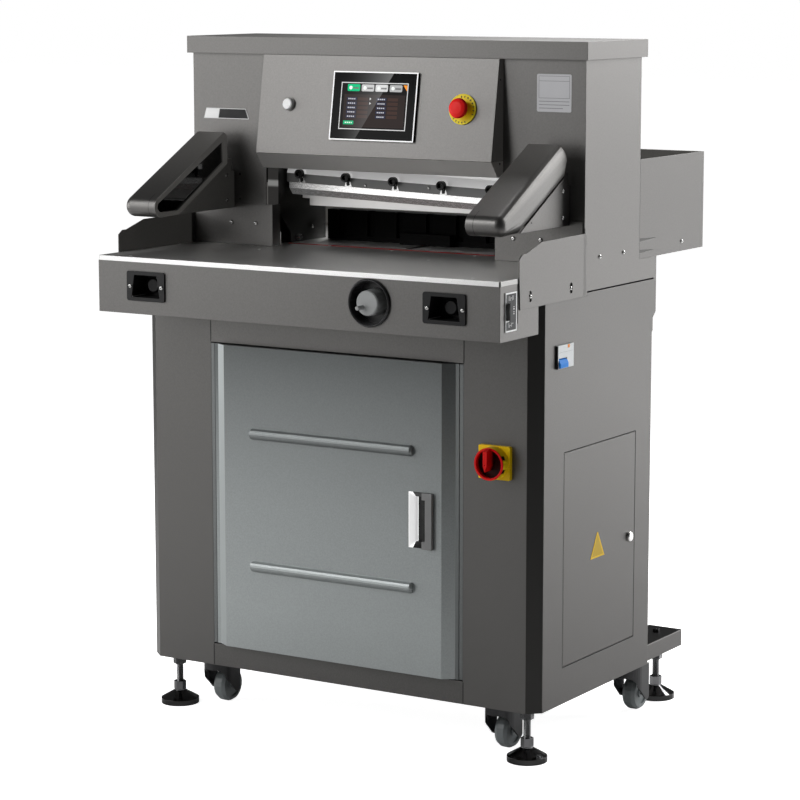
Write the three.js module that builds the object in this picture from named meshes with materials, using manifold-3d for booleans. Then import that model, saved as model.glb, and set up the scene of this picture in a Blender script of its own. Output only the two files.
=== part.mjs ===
import * as THREE from 'three';
import { ConvexGeometry } from 'three/addons/geometries/ConvexGeometry.js';
import { mergeVertices } from 'three/addons/utils/BufferGeometryUtils.js';
import Module from 'manifold-3d';

// Electric paper cutter on a cabinet, in millimetres.
// X runs to the operator's right, Y to the rear and Z up; the floor is Z zero.

const wasm = await Module();
wasm.setup();

// Shared sizes
const sheet = 2;
const gap = 0.3;
const overrun = 10;
const weld = 0.001;
const degree = Math.PI / 180;
const sides = [-1, 1];
const roundSteps = 32;
const wheelSteps = 24;
const smallSteps = 16;
const arcSteps = 6;
const hexSteps = 6;

// Finishes
const finishes = {
  body: { color: 0x7a7874, roughness: 0.5, metalness: 0.4 },
  door: { color: 0x848888, roughness: 0.5, metalness: 0.3 },
  dark: { color: 0x24252a, roughness: 0.55, metalness: 0 },
  steel: { color: 0xc8c8c6, roughness: 0.3, metalness: 1 },
  table: { color: 0x3c3d3e, roughness: 0.3, metalness: 0.6 },
  machined: { color: 0x5c5e60, roughness: 0.4, metalness: 0.9 },
  glass: { color: 0x08090a, roughness: 0.08, metalness: 0 },
  red: { color: 0xc01812, roughness: 0.35, metalness: 0 },
  yellow: { color: 0xe8c400, roughness: 0.45, metalness: 0 },
  white: { color: 0xf0f0ee, roughness: 0.35, metalness: 0 },
  blue: { color: 0x1c6fb8, roughness: 0.35, metalness: 0 },
  tyre: { color: 0x5c6264, roughness: 0.6, metalness: 0 },
  stick: { color: 0xb02018, roughness: 0.5, metalness: 0 },
  grey: { color: 0x8f9391, roughness: 0.45, metalness: 0 },
  tank: { color: 0x4c545c, roughness: 0.5, metalness: 0.3 },
};

// Main sizes, from which the others are worked out
const machine = {
  halfWidth: 458, underside: 104.6, tableTop: 951, capTop: 1376.5,
  cabinetFront: -242.2, cabinetRear: 242.5, apronFront: -392.5,
  headFront: -66, headRear: 166, guardRear: 456, towerWidth: 183,
};
const throat = { half: machine.halfWidth - machine.towerWidth };
const wall = machine.halfWidth;
const level = machine.tableTop;

// Cabinet, under the table
const cabinet = {
  halfWidth: wall, columnEdge: wall - 25.3, front: machine.cabinetFront,
  chamferRear: machine.cabinetFront + 22.2, bottom: machine.underside,
  sideTop: level - 53.3, earTop: level - 58.8, columnTop: level - 20.3, flange: 30,
  rearHigh: machine.cabinetRear, rearMiddle: machine.cabinetRear - 12.5, rearLow: machine.cabinetRear - 16,
  stepLow: level - 131.5, stepHigh: level - 119.5, jog: level - 159.5, jogHeight: 2,
  earRear: -53, earFront: -78,
};
const door = {
  half: wall - 173, flangeHalf: wall - 181, faceHalf: wall - 204, face: cabinet.front - 13.8,
  flat: cabinet.front - 0.2, inner: cabinet.front + 20.2 - gap, bottom: 152, top: level - 181,
  barHalf: wall - 266, barRadius: 11, barTip: 1, barTipShare: 0.7, upperBar: level - 355.5, lowerBar: 325.5,
};
const doorMiddle = (door.bottom + door.top) / 2;
const opening = {
  bottom: door.bottom - 2.4, top: door.top + 1.7, jambHalf: door.half - 17,
  jambFront: cabinet.front + 20.2, lip: 14, frameHalf: door.half + 9.6,
};
const vents = { count: 5, halfLength: 90, height: 6, pitch: 22, drop: 311 };

// Base frame under the cabinet
const base = {
  railOuter: wall - 9, railWidth: 76, front: cabinet.front + 23.2, rear: machine.cabinetRear + 161,
  bottom: machine.underside + 1.1, top: machine.underside + 35.4,
  wall: 5, floor: 3, floorInset: 9, floorFront: cabinet.front + 30.2, floorRear: machine.cabinetRear - 21,
  crossFront: cabinet.front + 30.2, crossRear: machine.cabinetRear - 90.5, crossWidth: 76,
};
const railInner = base.railOuter - base.railWidth;

// Levelling feet, through the rails
const foot = {
  x: base.railOuter - 35, front: base.front + 19.4, rear: base.rear - 48.5, pad: 39.5, rim: 11,
  cone: 27, neck: 12, nutBottom: 29, nutTop: 46, nut: 12.7, lockNut: 13.5, lockHeight: 22,
  stem: 7.2, stemTop: base.top + 7, hole: 7.7,
};

// Casters, just clear of the floor
const caster = {
  frontX: railInner - 36, frontY: cabinet.front + 74.2, rearX: base.railOuter - 29,
  rearY: machine.cabinetRear - 25.5, trail: 32, radius: 35, clear: 0.5,
  drum: 30.5, drumInner: 27.5, cheekInner: 27, reach: 34, roof: 4, archTop: 77, archRound: 16,
  plate: 4, plateHalfX: 22, plateHalfY: 28, axle: 4, bore: 4.2, axleHalf: 29,
  halfTread: 14, crownHalf: 7, shoulder: 31, dishOuter: 25, dishInner: 10, dish: 4,
};
// The lower edge of the fork seen from the side, from the pivot
const cheek = [
  [-40, 78], [-30, 76], [-20, 66], [-10, 55], [5, 42], [14, 33], [20, 27.5], [26, 25], [32, 28], [36, 34],
  [50, 60],
];

// Work table and what hangs on its front
const apron = {
  halfWidth: wall + 0.9, front: machine.apronFront, rear: cabinet.front - 6.2,
  bottom: level - 111.7, top: level - 9.3, flangeRear: cabinet.front - gap, flangeInset: 38,
};
const table = {
  top: level, thickness: 20, lipThickness: 11, rearThickness: 7.5,
  frontHalf: apron.halfWidth - 6.2, rearHalf: wall - 2.3, front: apron.front + 6.3,
  lipRear: apron.front + 42.5,
  shoulder: cabinet.front - 5.8, step: 158, rear: machine.guardRear - sheet - gap,
  slotHalf: 10, slotFront: 30, slotRear: 420,
};
const strip = {
  half: apron.halfWidth - 2.4, side: 5.9, front: apron.front - 0.5, back: table.front - gap,
  sideRear: cabinet.front - 7.8, bottom: apron.top + gap, top: level + 0.2,
};
const stick = { y: 8, half: 6, length: throat.half - 1, depth: 8 };
const recess = {
  xShare: 0.7442, z: level - 55.9, halfWidth: 45.8, halfHeight: 29.4, corner: 5, thickness: 3,
  topHalf: 27.5, bottomHalf: 34.2, mouthHalf: 22.1, depth: 44, wall: 2, cutHalf: 38, cutHalfHeight: 26,
};
const startButton = { radius: 15, collar: 18, collarThick: 3, proud: 20, dome: 3 };
const wheelCup = {
  xShare: 0.3879, z: level - 55.3, ring: 46, inner: 41, proud: 5.5, depth: 27, wall: 2, bore: 6, hole: 44,
  edgeShare: 0.6, roundShare: 0.4,
};
const recessX = recess.xShare * apron.halfWidth;
const wheelX = wheelCup.xShare * apron.halfWidth;
const wheel = {
  face: 24, skirt: 26, chamfer: 2, front: apron.front - 9.5, back: apron.front + 21.5, shaft: 5.7,
  collar: 9, collarThick: 4, pinX: -10, pinZ: -8.2, pin: 4.4, pinLength: 19, pinChamfer: 1.2,
};
const sideSwitch = {
  front: apron.front + 17.5, rear: apron.front + 58.5, bottom: apron.bottom + 17.2, top: apron.top - 12.7,
  thickness: 1.5, rockerInset: 1.5, rockerWidth: 11, rockerHeight: 32, rockerLift: 0.9,
  rockerProud: 2.5, rockerDeep: 8, dish: 1.5,
};

// Head over the table
const head = {
  half: wall, front: machine.headFront, rear: machine.headRear, top: machine.capTop - sheet - gap,
  panelInner: throat.half + 3, panelBottom: level + gap, rearLow: machine.cabinetRear,
  lowTop: level - 7.8, slitTop: cabinet.sideTop + 3, slitRear: machine.cabinetRear - 11.5,
  tabBottom: cabinet.sideTop + gap, earBottom: cabinet.earTop + gap,
  backInset: 2.3, backBottom: level + 109, backFace: machine.headRear - gap,
};
const ear = {
  outer: wall + 3, bendRear: -58, bendFront: -75, tip: -325.5, tipTop: level + 34.9, low: -321.7,
  notchFront: -312.4, notchRear: -299.3, notchZ: level + 43.7, shoulder: -240.8,
  shoulderZ: level + 60.2, top: level + 61.9,
  slotHalf: 5, slotHalfHeight: 10.5, slotFront: -283.8, slotRear: -123.9, slotZ: level - 36.8,
};
const cap = {
  half: wall + 8.5, front: machine.headFront - 10, rear: machine.headRear + 10,
  height: 34.5, top: machine.capTop,
};
const fascia = {
  half: throat.half - gap, topY: head.front - 9.7, top: machine.capTop - cap.height - gap,
  bendY: head.front - 40.7, bend: level + 194, lipY: head.front - 16, lip: level + 162, rear: -30,
  screenHalf: 94, screenHalfHeight: 63, stopHole: 11.5, buttonHole: 11.8, collar: 14, collarProud: 3,
};
const fasciaTilt = Math.atan((fascia.topY - fascia.bendY) / (fascia.top - fascia.bend));
const panel = {
  z: fascia.top - 98.1, sideShare: 0.7372, screenHalf: 98.5, screenHalfHeight: 68.5, corner: 4, proud: 5,
  windowHalf: 76, windowHalfHeight: 45, windowDepth: 1, bodyHalf: 90, bodyHalfHeight: 59, bodyDepth: 28,
};
const buttonX = panel.sideShare * fascia.half;
const stopButton = {
  plate: 30, plateThick: 2.5, head: 20, crown: 28, underside: 15, neck: 11, collar: 15, collarThick: 3,
  edge: 4, crownDrop: 1,
};
const whiteButton = { radius: 11.3, proud: 7, edge: 2, collar: 14, collarThick: 3 };

// Front covers and curtain arms
const cover = {
  inner: throat.half - 13, outer: wall - 3, face: head.front - 2.3, returnRear: head.front + 26,
  top: level + 85,
};
const arm = {
  inner: wall - 103.5, outer: wall - 31, rear: -94, top: level + 232, topY: -105,
  rearTop: level + 225, rearBottom: level + 168, lowerRearY: -100, lowerRear: level + 164,
  lowerFrontY: -262, lowerFront: level + 76.2, bottom: level + 74,
  noseY: -322, nose: 21, round: 9, dome: 15, domeSteps: 6, gatherShare: 0.8, edge: 1.5, edgeSteps: 4,
};
const bracket = {
  inner: arm.inner + 1.5, outer: arm.outer - 1, plate: 2.5, rear: cover.face - gap, bottom: level + 76,
  backTop: level + 151, hornTop: level + 177, hornY: -78,
};
const armWindow = {
  topY: -108, top: level + 215, rearBottom: level + 171, lowerY: -267, lower: level + 84.5,
  cornerY: -326, corner: level + 84.2, noseY: -335.5, nose: level + 93, upperY: -333,
  upper: level + 102, depth: 14,
};

// Press frame, clamp and knife behind the fascia
const frame = {
  inner: throat.half, outer: throat.half + 25, front: -28, rear: 150, top: head.top - 39.2,
  footY: 18, footZ: level + 20, cornerZ: level + 71,
  headFront: 0, headRear: 80, headBottom: level + 289, headTop: level + 369, rodBore: 12.4,
  guideWidth: 35, guideRear: 20, guideBottom: level + 167,
};
const clamp = {
  front: 10, rear: 60, bottom: level + 80.5, lipTop: level + 101, lipInset: 53, bodyBottom: level + 95,
  bodyInset: 35, bodyTop: level + 164, shoeFront: 20, shoeRear: 50,
  shoeBottom: level + 109, rodInset: 75, rodY: 36, rod: 12, rodTop: level + 394,
};
const rodX = throat.half - clamp.rodInset;
const knife = {
  slopeShare: 0.031, half: throat.half - 12, front: -4, rear: 8, edge: level + 94.3, bevel: level + 108,
  top: level + 169,
};
const carrier = {
  half: throat.half - 13, front: -14, bottom: level + 121, shoulder: level + 139.5,
  slopeTop: level + 157, slopeFront: -7, top: level + 277, rear: 8, boltCount: 5,
  boltPitchShare: 0.4298, boltOffset: 0.2, bolt: 9, boltProud: 5,
};

// Back gauge and its screw under the table
const gauge = {
  half: throat.half - 25, front: 120, rear: 150, top: level + 64, footFront: 100, footRear: 190,
  footHalf: 60, footTop: level + 24, lift: 0.6, neckHalf: 8, neckFront: 125, neckRear: 165,
  nutHalf: 18, nutTop: level - 20.6, nutBottom: level - 57, toothCount: 7, toothHalf: 9, toothDepth: 8,
};
const screw = {
  z: level - 39, radius: 9, bore: 9.3, passage: 28, front: -84, rear: table.rear - 10.7,
  bearingHalf: 20, bearingBottom: level - 61, bearingDepth: 20,
  frontBearing: -82, rearBearing: table.rear - 29.7, collar: 14, collarThick: 6,
};

// Rear guard, open on top
const guard = {
  half: wall, front: machine.headRear + gap, rear: machine.guardRear,
  bottom: level - table.rearThickness, top: level + 190, flange: 12,
};
const tabs = {
  front: guard.front, upperRear: guard.front + 72.7, lowerRear: guard.front + 61.7,
  upper: level + 29.5, lower: level + 6.7, height: 8, depth: 1.2,
};

// Handle of the front door: a cup set into the door and a grip over its right side
const pull = {
  right: door.half - 49, width: 55.9, bottom: doorMiddle - 55.5, top: doorMiddle + 54.5,
  rim: 1, slopeX: 8, slopeZ: 9, slopeDepth: 10, depth: 20, shell: 1.6, proud: 8,
  grip: 14.5, gripArm: 22, gripDepth: 2, armTop: 13, armBottom: 15,
};
const hatch = {
  front: -139, rear: 158.5, bottom: 178.5, top: 597.5, gap: 1.4, lockY: 135, lockZ: 387.5, lockBore: 7,
};
const lock = {
  radius: 10, proud: 6, edge: 1.5, shaft: 6.7, shaftDeep: 8, camLength: 33, camWidth: 7, camThick: 3,
};
const isolator = {
  x: (opening.frameHalf + cabinet.columnEdge) / 2 + 3.4, z: doorMiddle + 127.4, halfWidth: 34.1,
  halfHeight: 32.4, corner: 3, thickness: 9, collar: 31.8, collarInner: 30, collarProud: 19.2,
  windowBottom: 9, windowTop: 17, windowDepth: 11, knob: 31.4, flange: 2, body: 29.7, pocket: 27.3,
  pocketDepth: 15, floor: 5, finHalf: 4.3, finTop: 26.2, finShoulder: 30, finLow: 2, finTip: 13.5,
  finProud: 14, mark: 1.3, shaft: 8, shaftDeep: 20, bore: 8.3,
};
const breaker = {
  front: -177.4, rear: -114.6, bottom: level - 186.4, top: level - 142.1, proud: 4.7, depth: 38,
  mouthHalf: 8,
};
const toggle = { y: -157.5, half: 16, inset: 1, drop: 10.5, radius: 7, bore: 7.3 };
// The lever's outline in XZ, from its pivot, as it hangs at rest
const lever = [[-2, -4], [2, -5], [6.2, -7], [6.2, -10.2], [9.3, -10.2], [9.3, -2], [6.5, 4], [0, 4.5]];
const power = {
  halfX: 150, front: -60, rear: 170, bottom: base.top + base.floor + gap, top: 340, motor: 62, motorX: -60,
  motorTop: 560, cap: 70, capThick: 8, block: 45, blockX: 85, blockTop: 440, y: 55,
  filler: 14, fillerX: 20, fillerTop: 372,
};

// Shapes

function solidOf(geometry) {
  const bare = geometry.clone();
  bare.deleteAttribute('normal');
  bare.deleteAttribute('uv');
  const merged = mergeVertices(bare, weld);
  const points = merged.attributes.position.array;
  const corners = merged.index.array;
  const kept = [];
  let volume = 0;
  for (let i = 0; i < corners.length; i += 3) {
    const [a, b, c] = [corners[i], corners[i + 1], corners[i + 2]];
    if (a === b || b === c || a === c) continue;
    kept.push(a, b, c);
    const [p, q, r] = [a, b, c].map((n) => new THREE.Vector3().fromArray(points, 3 * n));
    volume += p.dot(q.cross(r));
  }
  if (volume < 0) kept.reverse();
  return new wasm.Manifold(new wasm.Mesh({
    numProp: 3, vertProperties: new Float32Array(points), triVerts: new Uint32Array(kept),
  }));
}

function geometryOf(solid) {
  const mesh = solid.getMesh();
  const geometry = new THREE.BufferGeometry();
  geometry.setAttribute('position', new THREE.BufferAttribute(new Float32Array(mesh.vertProperties), 3));
  geometry.setIndex(new THREE.BufferAttribute(new Uint32Array(mesh.triVerts), 1));
  const flat = geometry.toNonIndexed();
  flat.computeVertexNormals();
  return flat;
}

function join(first, ...rest) {
  return rest.reduce((whole, next) => whole.add(next), first);
}

function cut(first, ...rest) {
  return rest.reduce((whole, next) => whole.subtract(next), first);
}

function ordered([a, b]) {
  return a < b ? [a, b] : [b, a];
}

function block(xs, ys, zs) {
  const [[x0, x1], [y0, y1], [z0, z1]] = [xs, ys, zs].map(ordered);
  const geometry = new THREE.BoxGeometry(x1 - x0, y1 - y0, z1 - z0);
  return solidOf(geometry.translate((x0 + x1) / 2, (y0 + y1) / 2, (z0 + z1) / 2));
}

// An outline is drawn in YZ for the X axis, in XZ for the Y axis and in XY for the Z axis.
function prism(axis, outline, range, steps = arcSteps) {
  const drawn = (points) => new THREE.Shape(points.map(([u, v]) => new THREE.Vector2(u, v)));
  const shape = Array.isArray(outline) ? drawn(outline) : outline;
  const [from, to] = ordered(range);
  const geometry = new THREE.ExtrudeGeometry(shape, {
    depth: to - from, bevelEnabled: false, curveSegments: steps,
  });
  const [x, y, z] = [new THREE.Vector3(1, 0, 0), new THREE.Vector3(0, 1, 0), new THREE.Vector3(0, 0, 1)];
  const place = new THREE.Matrix4();
  if (axis === 'x') place.makeBasis(y, z, x).setPosition(from, 0, 0);
  if (axis === 'y') place.makeBasis(x, z, y.negate()).setPosition(0, to, 0);
  if (axis === 'z') place.makeBasis(x, y, z).setPosition(0, 0, from);
  return solidOf(geometry.applyMatrix4(place));
}

// A profile of [radius, height] pairs, turned about an axis through the centre.
function turned(axis, profile, centre, steps = roundSteps) {
  const geometry = new THREE.LatheGeometry(profile.map(([r, h]) => new THREE.Vector2(r, h)), steps);
  if (axis === 'x') geometry.rotateZ(-Math.PI / 2);
  if (axis === 'z') geometry.rotateX(Math.PI / 2);
  return solidOf(geometry.translate(...centre));
}

function cylinder(axis, radius, range, centre, steps = roundSteps) {
  const [from, to] = ordered(range);
  return turned(axis, [[0, from], [radius, from], [radius, to], [0, to]], centre, steps);
}

function rounded(x, y, halfX, halfY, radius) {
  const shape = new THREE.Shape();
  const corners = [[1, -1, -90], [1, 1, 0], [-1, 1, 90], [-1, -1, 180]];
  for (const [sx, sy, start] of corners) {
    const [cx, cy] = [x + sx * (halfX - radius), y + sy * (halfY - radius)];
    shape.absarc(cx, cy, radius, start * degree, (start + 90) * degree, false);
  }
  return shape;
}

// A closed outline that follows a path and lies on its left by the given thickness.
function bent(path, thickness) {
  const points = path.map(([u, v]) => new THREE.Vector2(u, v));
  const normals = points.slice(1).map((p, i) => {
    const run = p.clone().sub(points[i]).normalize();
    return new THREE.Vector2(-run.y, run.x);
  });
  const offset = points.map((p, i) => {
    const [a, b] = [normals[Math.max(i - 1, 0)], normals[Math.min(i, normals.length - 1)]];
    const mitre = a.clone().add(b);
    return p.clone().add(mitre.multiplyScalar(thickness * 2 / mitre.lengthSq()));
  });
  return [...points, ...offset.reverse()].map((p) => [p.x, p.y]);
}

// A skin over rings that each have the same count of points, closed at both ends.
function lofted(rings) {
  const count = rings[0].length;
  const corners = [];
  for (let k = 0; k + 1 < rings.length; k += 1) {
    for (let i = 0; i < count; i += 1) {
      const j = (i + 1) % count;
      const [a, b] = [k * count + i, k * count + j];
      corners.push(a, b, b + count, a, b + count, a + count);
    }
  }
  const last = (rings.length - 1) * count;
  const lid = (ring) => THREE.ShapeUtils.triangulateShape(ring.map((p) => new THREE.Vector2(p.y, p.z)), []);
  for (const [a, b, c] of lid(rings[0])) corners.push(a, c, b);
  for (const [a, b, c] of lid(rings.at(-1))) corners.push(last + a, last + b, last + c);
  const geometry = new THREE.BufferGeometry().setFromPoints(rings.flat());
  geometry.setIndex(corners);
  return solidOf(geometry);
}

// A block whose rectangle in XZ changes from one depth to another.
function tapered(near, nearY, far, farY) {
  const corners = ([[x0, x1], [z0, z1]], y) => [[x0, z0], [x1, z0], [x1, z1], [x0, z1]]
    .map(([x, z]) => new THREE.Vector3(x, y, z));
  return solidOf(new ConvexGeometry([...corners(near, nearY), ...corners(far, farY)]));
}

function mirrored(outline, side) {
  return outline.map(([u, v]) => [side * u, v]);
}

function tilted(solid, y, z, angle) {
  const geometry = geometryOf(solid);
  geometry.rotateX(angle);
  return solidOf(geometry.translate(0, y, z));
}

const group = new THREE.Group();

function add(name, solid, finish, parent = group) {
  const mesh = new THREE.Mesh(geometryOf(solid), new THREE.MeshStandardMaterial(finishes[finish]));
  mesh.name = name;
  parent.add(mesh);
  return mesh;
}

const sideName = (side) => (side < 0 ? 'left' : 'right');

// Base frame: two rails, two cross tubes, a floor plate and the caster plates

function rail(side) {
  const span = [side * railInner, side * base.railOuter];
  const length = [base.front, base.rear];
  return join(
    block([side * (base.railOuter - base.wall), side * base.railOuter], length, [base.bottom, base.top]),
    block(span, length, [base.top - base.wall, base.top]),
    block(span, length, [base.bottom, base.bottom + base.wall]),
    block(span, [base.rear - base.wall, base.rear], [base.bottom, base.top]),
    block(span, [base.front, base.front + base.wall], [base.bottom, base.top]),
  );
}

function crossTube(front) {
  const half = railInner + base.wall;
  const rear = front + base.crossWidth;
  return cut(
    block([-half, half], [front, rear], [base.bottom, base.top]),
    block([-half - overrun, half + overrun], [front + base.wall, rear - base.wall],
      [base.bottom + base.wall, base.top - base.wall]),
  );
}

function buildBase() {
  let body = join(rail(-1), rail(1), crossTube(base.crossFront), crossTube(base.crossRear));
  const floorHalf = base.railOuter - base.floorInset;
  body = join(body, block([-floorHalf, floorHalf], [base.floorFront, base.floorRear],
    [base.top - weld, base.top + base.floor]));
  for (const [x, y] of casterPlaces()) {
    body = join(body, block(
      [x - caster.plateHalfX, x + caster.plateHalfX],
      [y - caster.plateHalfY, y + caster.plateHalfY],
      [base.bottom - caster.plate, base.bottom + base.wall / 2],
    ));
  }
  for (const [x, y] of footPlaces()) {
    const through = [base.bottom - overrun, base.top + base.floor + overrun];
    body = cut(body, cylinder('z', foot.hole, through, [x, y, 0], smallSteps));
  }
  add('base_frame', body, 'body');
}

function footPlaces() {
  return sides.flatMap((side) => [[side * foot.x, foot.front], [side * foot.x, foot.rear]]);
}

function casterPlaces() {
  return sides.flatMap((side) => [
    [side * caster.frontX, caster.frontY], [side * caster.rearX, caster.rearY],
  ]);
}

function placeName([x, y]) {
  return `${y < 0 ? 'front' : 'rear'}_${sideName(x)}`;
}

function buildFeet() {
  for (const place of footPlaces()) {
    const pad = turned('z', [
      [0, 0], [foot.pad, 0], [foot.pad, foot.rim], [foot.neck, foot.cone], [foot.neck, foot.nutBottom],
      [foot.stem, foot.nutBottom], [foot.stem, foot.stemTop], [0, foot.stemTop],
    ], [...place, 0], wheelSteps);
    const nut = cylinder('z', foot.nut, [foot.nutBottom, foot.nutTop], [...place, 0], hexSteps);
    const lockTop = base.bottom - gap;
    const lock = cylinder('z', foot.lockNut, [lockTop - foot.lockHeight, lockTop], [...place, 0], hexSteps);
    add(`foot_${placeName(place)}`, join(pad, nut, lock), 'steel');
  }
}

// A drum round the pivot with a cheek on each side, open under an arch to the front and rear.
function casterFork(x, y) {
  const top = base.bottom - caster.plate - gap;
  const low = -overrun;
  const [half, round] = [caster.cheekInner, caster.archRound];
  const arch = new THREE.Shape();
  arch.moveTo(x - half, low);
  arch.lineTo(x + half, low);
  arch.absarc(x + half - round, caster.archTop - round, round, 0, Math.PI / 2, false);
  arch.absarc(x - half + round, caster.archTop - round, round, Math.PI / 2, Math.PI, false);
  const reach = [-2 * caster.drum, 2 * caster.drum];
  const edge = cheek.map(([along, z]) => [y + along, z]);
  const under = [...edge, [y + reach[1], low], [y + reach[0], low]];
  const cheeks = sides.map((side) => block(
    [x + side * caster.cheekInner, x + side * caster.drum], [y, y + caster.reach], [0, top],
  ));
  const drum = cut(
    cylinder('z', caster.drum, [0, top], [x, y, 0], roundSteps),
    cylinder('z', caster.drumInner, [-overrun, top - caster.roof], [x, y, 0], roundSteps),
  );
  return cut(
    join(drum, ...cheeks),
    prism('y', arch, reach.map((along) => y + along)),
    prism('x', under, reach.map((along) => x + along)),
  );
}

function buildCasters() {
  const wheelZ = caster.clear + caster.radius;
  for (const place of casterPlaces()) {
    const [x, y] = place;
    const axleY = y + caster.trail;
    const centre = [x, axleY, wheelZ];
    const axle = cylinder('x', caster.axle, [-caster.axleHalf, caster.axleHalf], centre, smallSteps);
    add(`caster_fork_${placeName(place)}`, join(casterFork(x, y), axle), 'dark');
    const [half, sunk] = [caster.halfTread, caster.halfTread - caster.dish];
    const edge = (side) => [
      [caster.bore, half], [caster.dishInner, half], [caster.dishInner, sunk], [caster.dishOuter, sunk],
      [caster.dishOuter, half], [caster.shoulder, half], [caster.radius, caster.crownHalf],
    ].map(([radius, along]) => [radius, side * along]);
    const profile = [...edge(-1), ...edge(1).reverse(), [caster.bore, -half]];
    add(`caster_wheel_${placeName(place)}`, turned('x', profile, centre, wheelSteps), 'tyre');
  }
}

// Cabinet: bent side panels, front frame and back

function rearSteps() {
  return [
    [cabinet.rearLow, cabinet.jog], [cabinet.rearMiddle, cabinet.jog + cabinet.jogHeight],
    [cabinet.rearMiddle, cabinet.stepLow], [cabinet.rearHigh, cabinet.stepHigh],
  ];
}

function rearRelief() {
  const far = cabinet.rearHigh + overrun;
  return prism('x', [
    [cabinet.rearLow, cabinet.bottom - overrun], ...rearSteps(), [far, cabinet.stepHigh],
    [far, cabinet.bottom - overrun],
  ], [-cabinet.halfWidth - overrun, cabinet.halfWidth + overrun]);
}

function buildCabinetSide(side) {
  const plan = bent([
    [opening.frameHalf, cabinet.front + cabinet.flange], [opening.frameHalf, cabinet.front],
    [cabinet.columnEdge, cabinet.front], [cabinet.halfWidth, cabinet.chamferRear],
    [cabinet.halfWidth, cabinet.rearHigh],
  ], sheet);
  const above = cabinet.columnTop + overrun;
  const outside = [side * (cabinet.halfWidth - 2 * sheet), side * (cabinet.halfWidth + overrun)];
  let body = cut(
    prism('z', mirrored(plan, side), [cabinet.bottom, cabinet.columnTop]),
    rearRelief(),
    block(outside, [cabinet.earFront, cabinet.earRear], [cabinet.earTop, above]),
    block(outside, [cabinet.earRear - weld, cabinet.rearHigh + overrun], [cabinet.sideTop, above]),
  );
  if (side > 0) {
    body = cut(
      body,
      block(outside, [hatch.front - gap, hatch.rear + hatch.gap],
        [hatch.bottom - hatch.gap, hatch.top + hatch.gap]),
      block(outside, [breaker.front - gap, breaker.rear + gap], [breaker.bottom - gap, breaker.top + gap]),
      cylinder('y', isolator.bore, [cabinet.front - overrun, cabinet.front + overrun],
        [isolator.x, 0, isolator.z], smallSteps),
    );
  }
  add(`cabinet_${sideName(side)}_panel`, body, 'body');
}

function buildCabinetFront() {
  const half = opening.frameHalf - gap;
  const jambRear = opening.jambFront + sheet;
  const ring = cut(
    block([-half, half], [opening.jambFront, jambRear], [cabinet.bottom, cabinet.columnTop]),
    block([-opening.jambHalf, opening.jambHalf], [opening.jambFront - overrun, jambRear + overrun],
      [opening.bottom + opening.lip, opening.top - opening.lip]),
  );
  const face = [cabinet.front, cabinet.front + sheet];
  const depth = [cabinet.front, jambRear];
  add('cabinet_front_frame', join(
    ring,
    block([-half, half], face, [cabinet.bottom, opening.bottom]),
    block([-half, half], depth, [opening.bottom - sheet, opening.bottom]),
    block([-half, half], face, [opening.top, cabinet.columnTop]),
    block([-half, half], depth, [opening.top, opening.top + sheet]),
  ), 'body');
}

function buildCabinetBack() {
  const path = [[cabinet.rearLow, base.top + gap], ...rearSteps(), [cabinet.rearHigh, cabinet.columnTop]];
  const half = cabinet.halfWidth - sheet - gap;
  const nutPassage = block([-screw.passage, screw.passage],
    [cabinet.rearLow - overrun, cabinet.rearHigh + overrun],
    [screw.z - screw.passage, cabinet.columnTop + overrun]);
  let body = cut(prism('x', bent(path, sheet), [-half, half]), nutPassage);
  for (let i = 0; i < vents.count; i += 1) {
    const z = level - vents.drop + i * vents.pitch;
    for (const side of sides) {
      const x = side * half / 2;
      body = cut(body, block([x - vents.halfLength, x + vents.halfLength],
        [cabinet.rearLow - overrun, cabinet.rearLow + overrun], [z, z + vents.height]));
    }
  }
  add('cabinet_back_panel', body, 'body');
}

// Table, front strip, apron and what is set into it

function buildTable() {
  const slab = (half, from, to, thickness) => block([-half, half], [from, to],
    [table.top - thickness, table.top]);
  const bearing = (y) => block([-screw.bearingHalf, screw.bearingHalf], [y, y + screw.bearingDepth],
    [screw.bearingBottom, table.top - table.rearThickness + sheet]);
  add('table_bed', cut(
    join(
      slab(table.frontHalf, table.front, table.step, table.lipThickness),
      slab(table.frontHalf, table.lipRear, table.step, table.thickness),
      slab(table.rearHalf, table.shoulder, table.step, table.thickness),
      slab(table.rearHalf, table.step - overrun, table.rear, table.rearThickness),
      bearing(screw.frontBearing),
      bearing(screw.rearBearing),
    ),
    block([-stick.length, stick.length], [stick.y - stick.half, stick.y + stick.half],
      [table.top - stick.depth, table.top + overrun]),
    block([-table.slotHalf, table.slotHalf], [table.slotFront, table.slotRear],
      [table.top - 2 * table.thickness, table.top + overrun]),
    cylinder('y', screw.bore, [screw.front - overrun, screw.rear + overrun], [0, 0, screw.z]),
  ), 'table');
  add('cutting_stick', block(
    [-stick.length + gap, stick.length - gap], [stick.y - stick.half + gap, stick.y + stick.half - gap],
    [table.top - stick.depth, table.top],
  ), 'stick');
  const height = [strip.bottom, strip.top];
  add('table_edge_strip', join(
    block([-strip.half, strip.half], [strip.front, strip.back], height),
    ...sides.map((side) => block([side * (apron.halfWidth - strip.side), side * apron.halfWidth],
      [strip.back - 2 * sheet, strip.sideRear], height)),
  ), 'steel');
}

function recessMouth(x, grow) {
  const [top, bottom, half] = [recess.topHalf + grow, recess.bottomHalf + grow, recess.mouthHalf + grow];
  return [
    [x - bottom, recess.z - half], [x + bottom, recess.z - half],
    [x + top, recess.z + half], [x - top, recess.z + half],
  ];
}

function rockerSpans() {
  const front = sideSwitch.front + sideSwitch.rockerInset;
  const middle = (sideSwitch.bottom + sideSwitch.top) / 2 + sideSwitch.rockerLift;
  const half = sideSwitch.rockerHeight / 2;
  return [[front, front + sideSwitch.rockerWidth], [middle - half, middle + half]];
}

function rockerHole() {
  return rockerSpans().map(([from, to]) => [from - gap, to + gap]);
}

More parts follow.
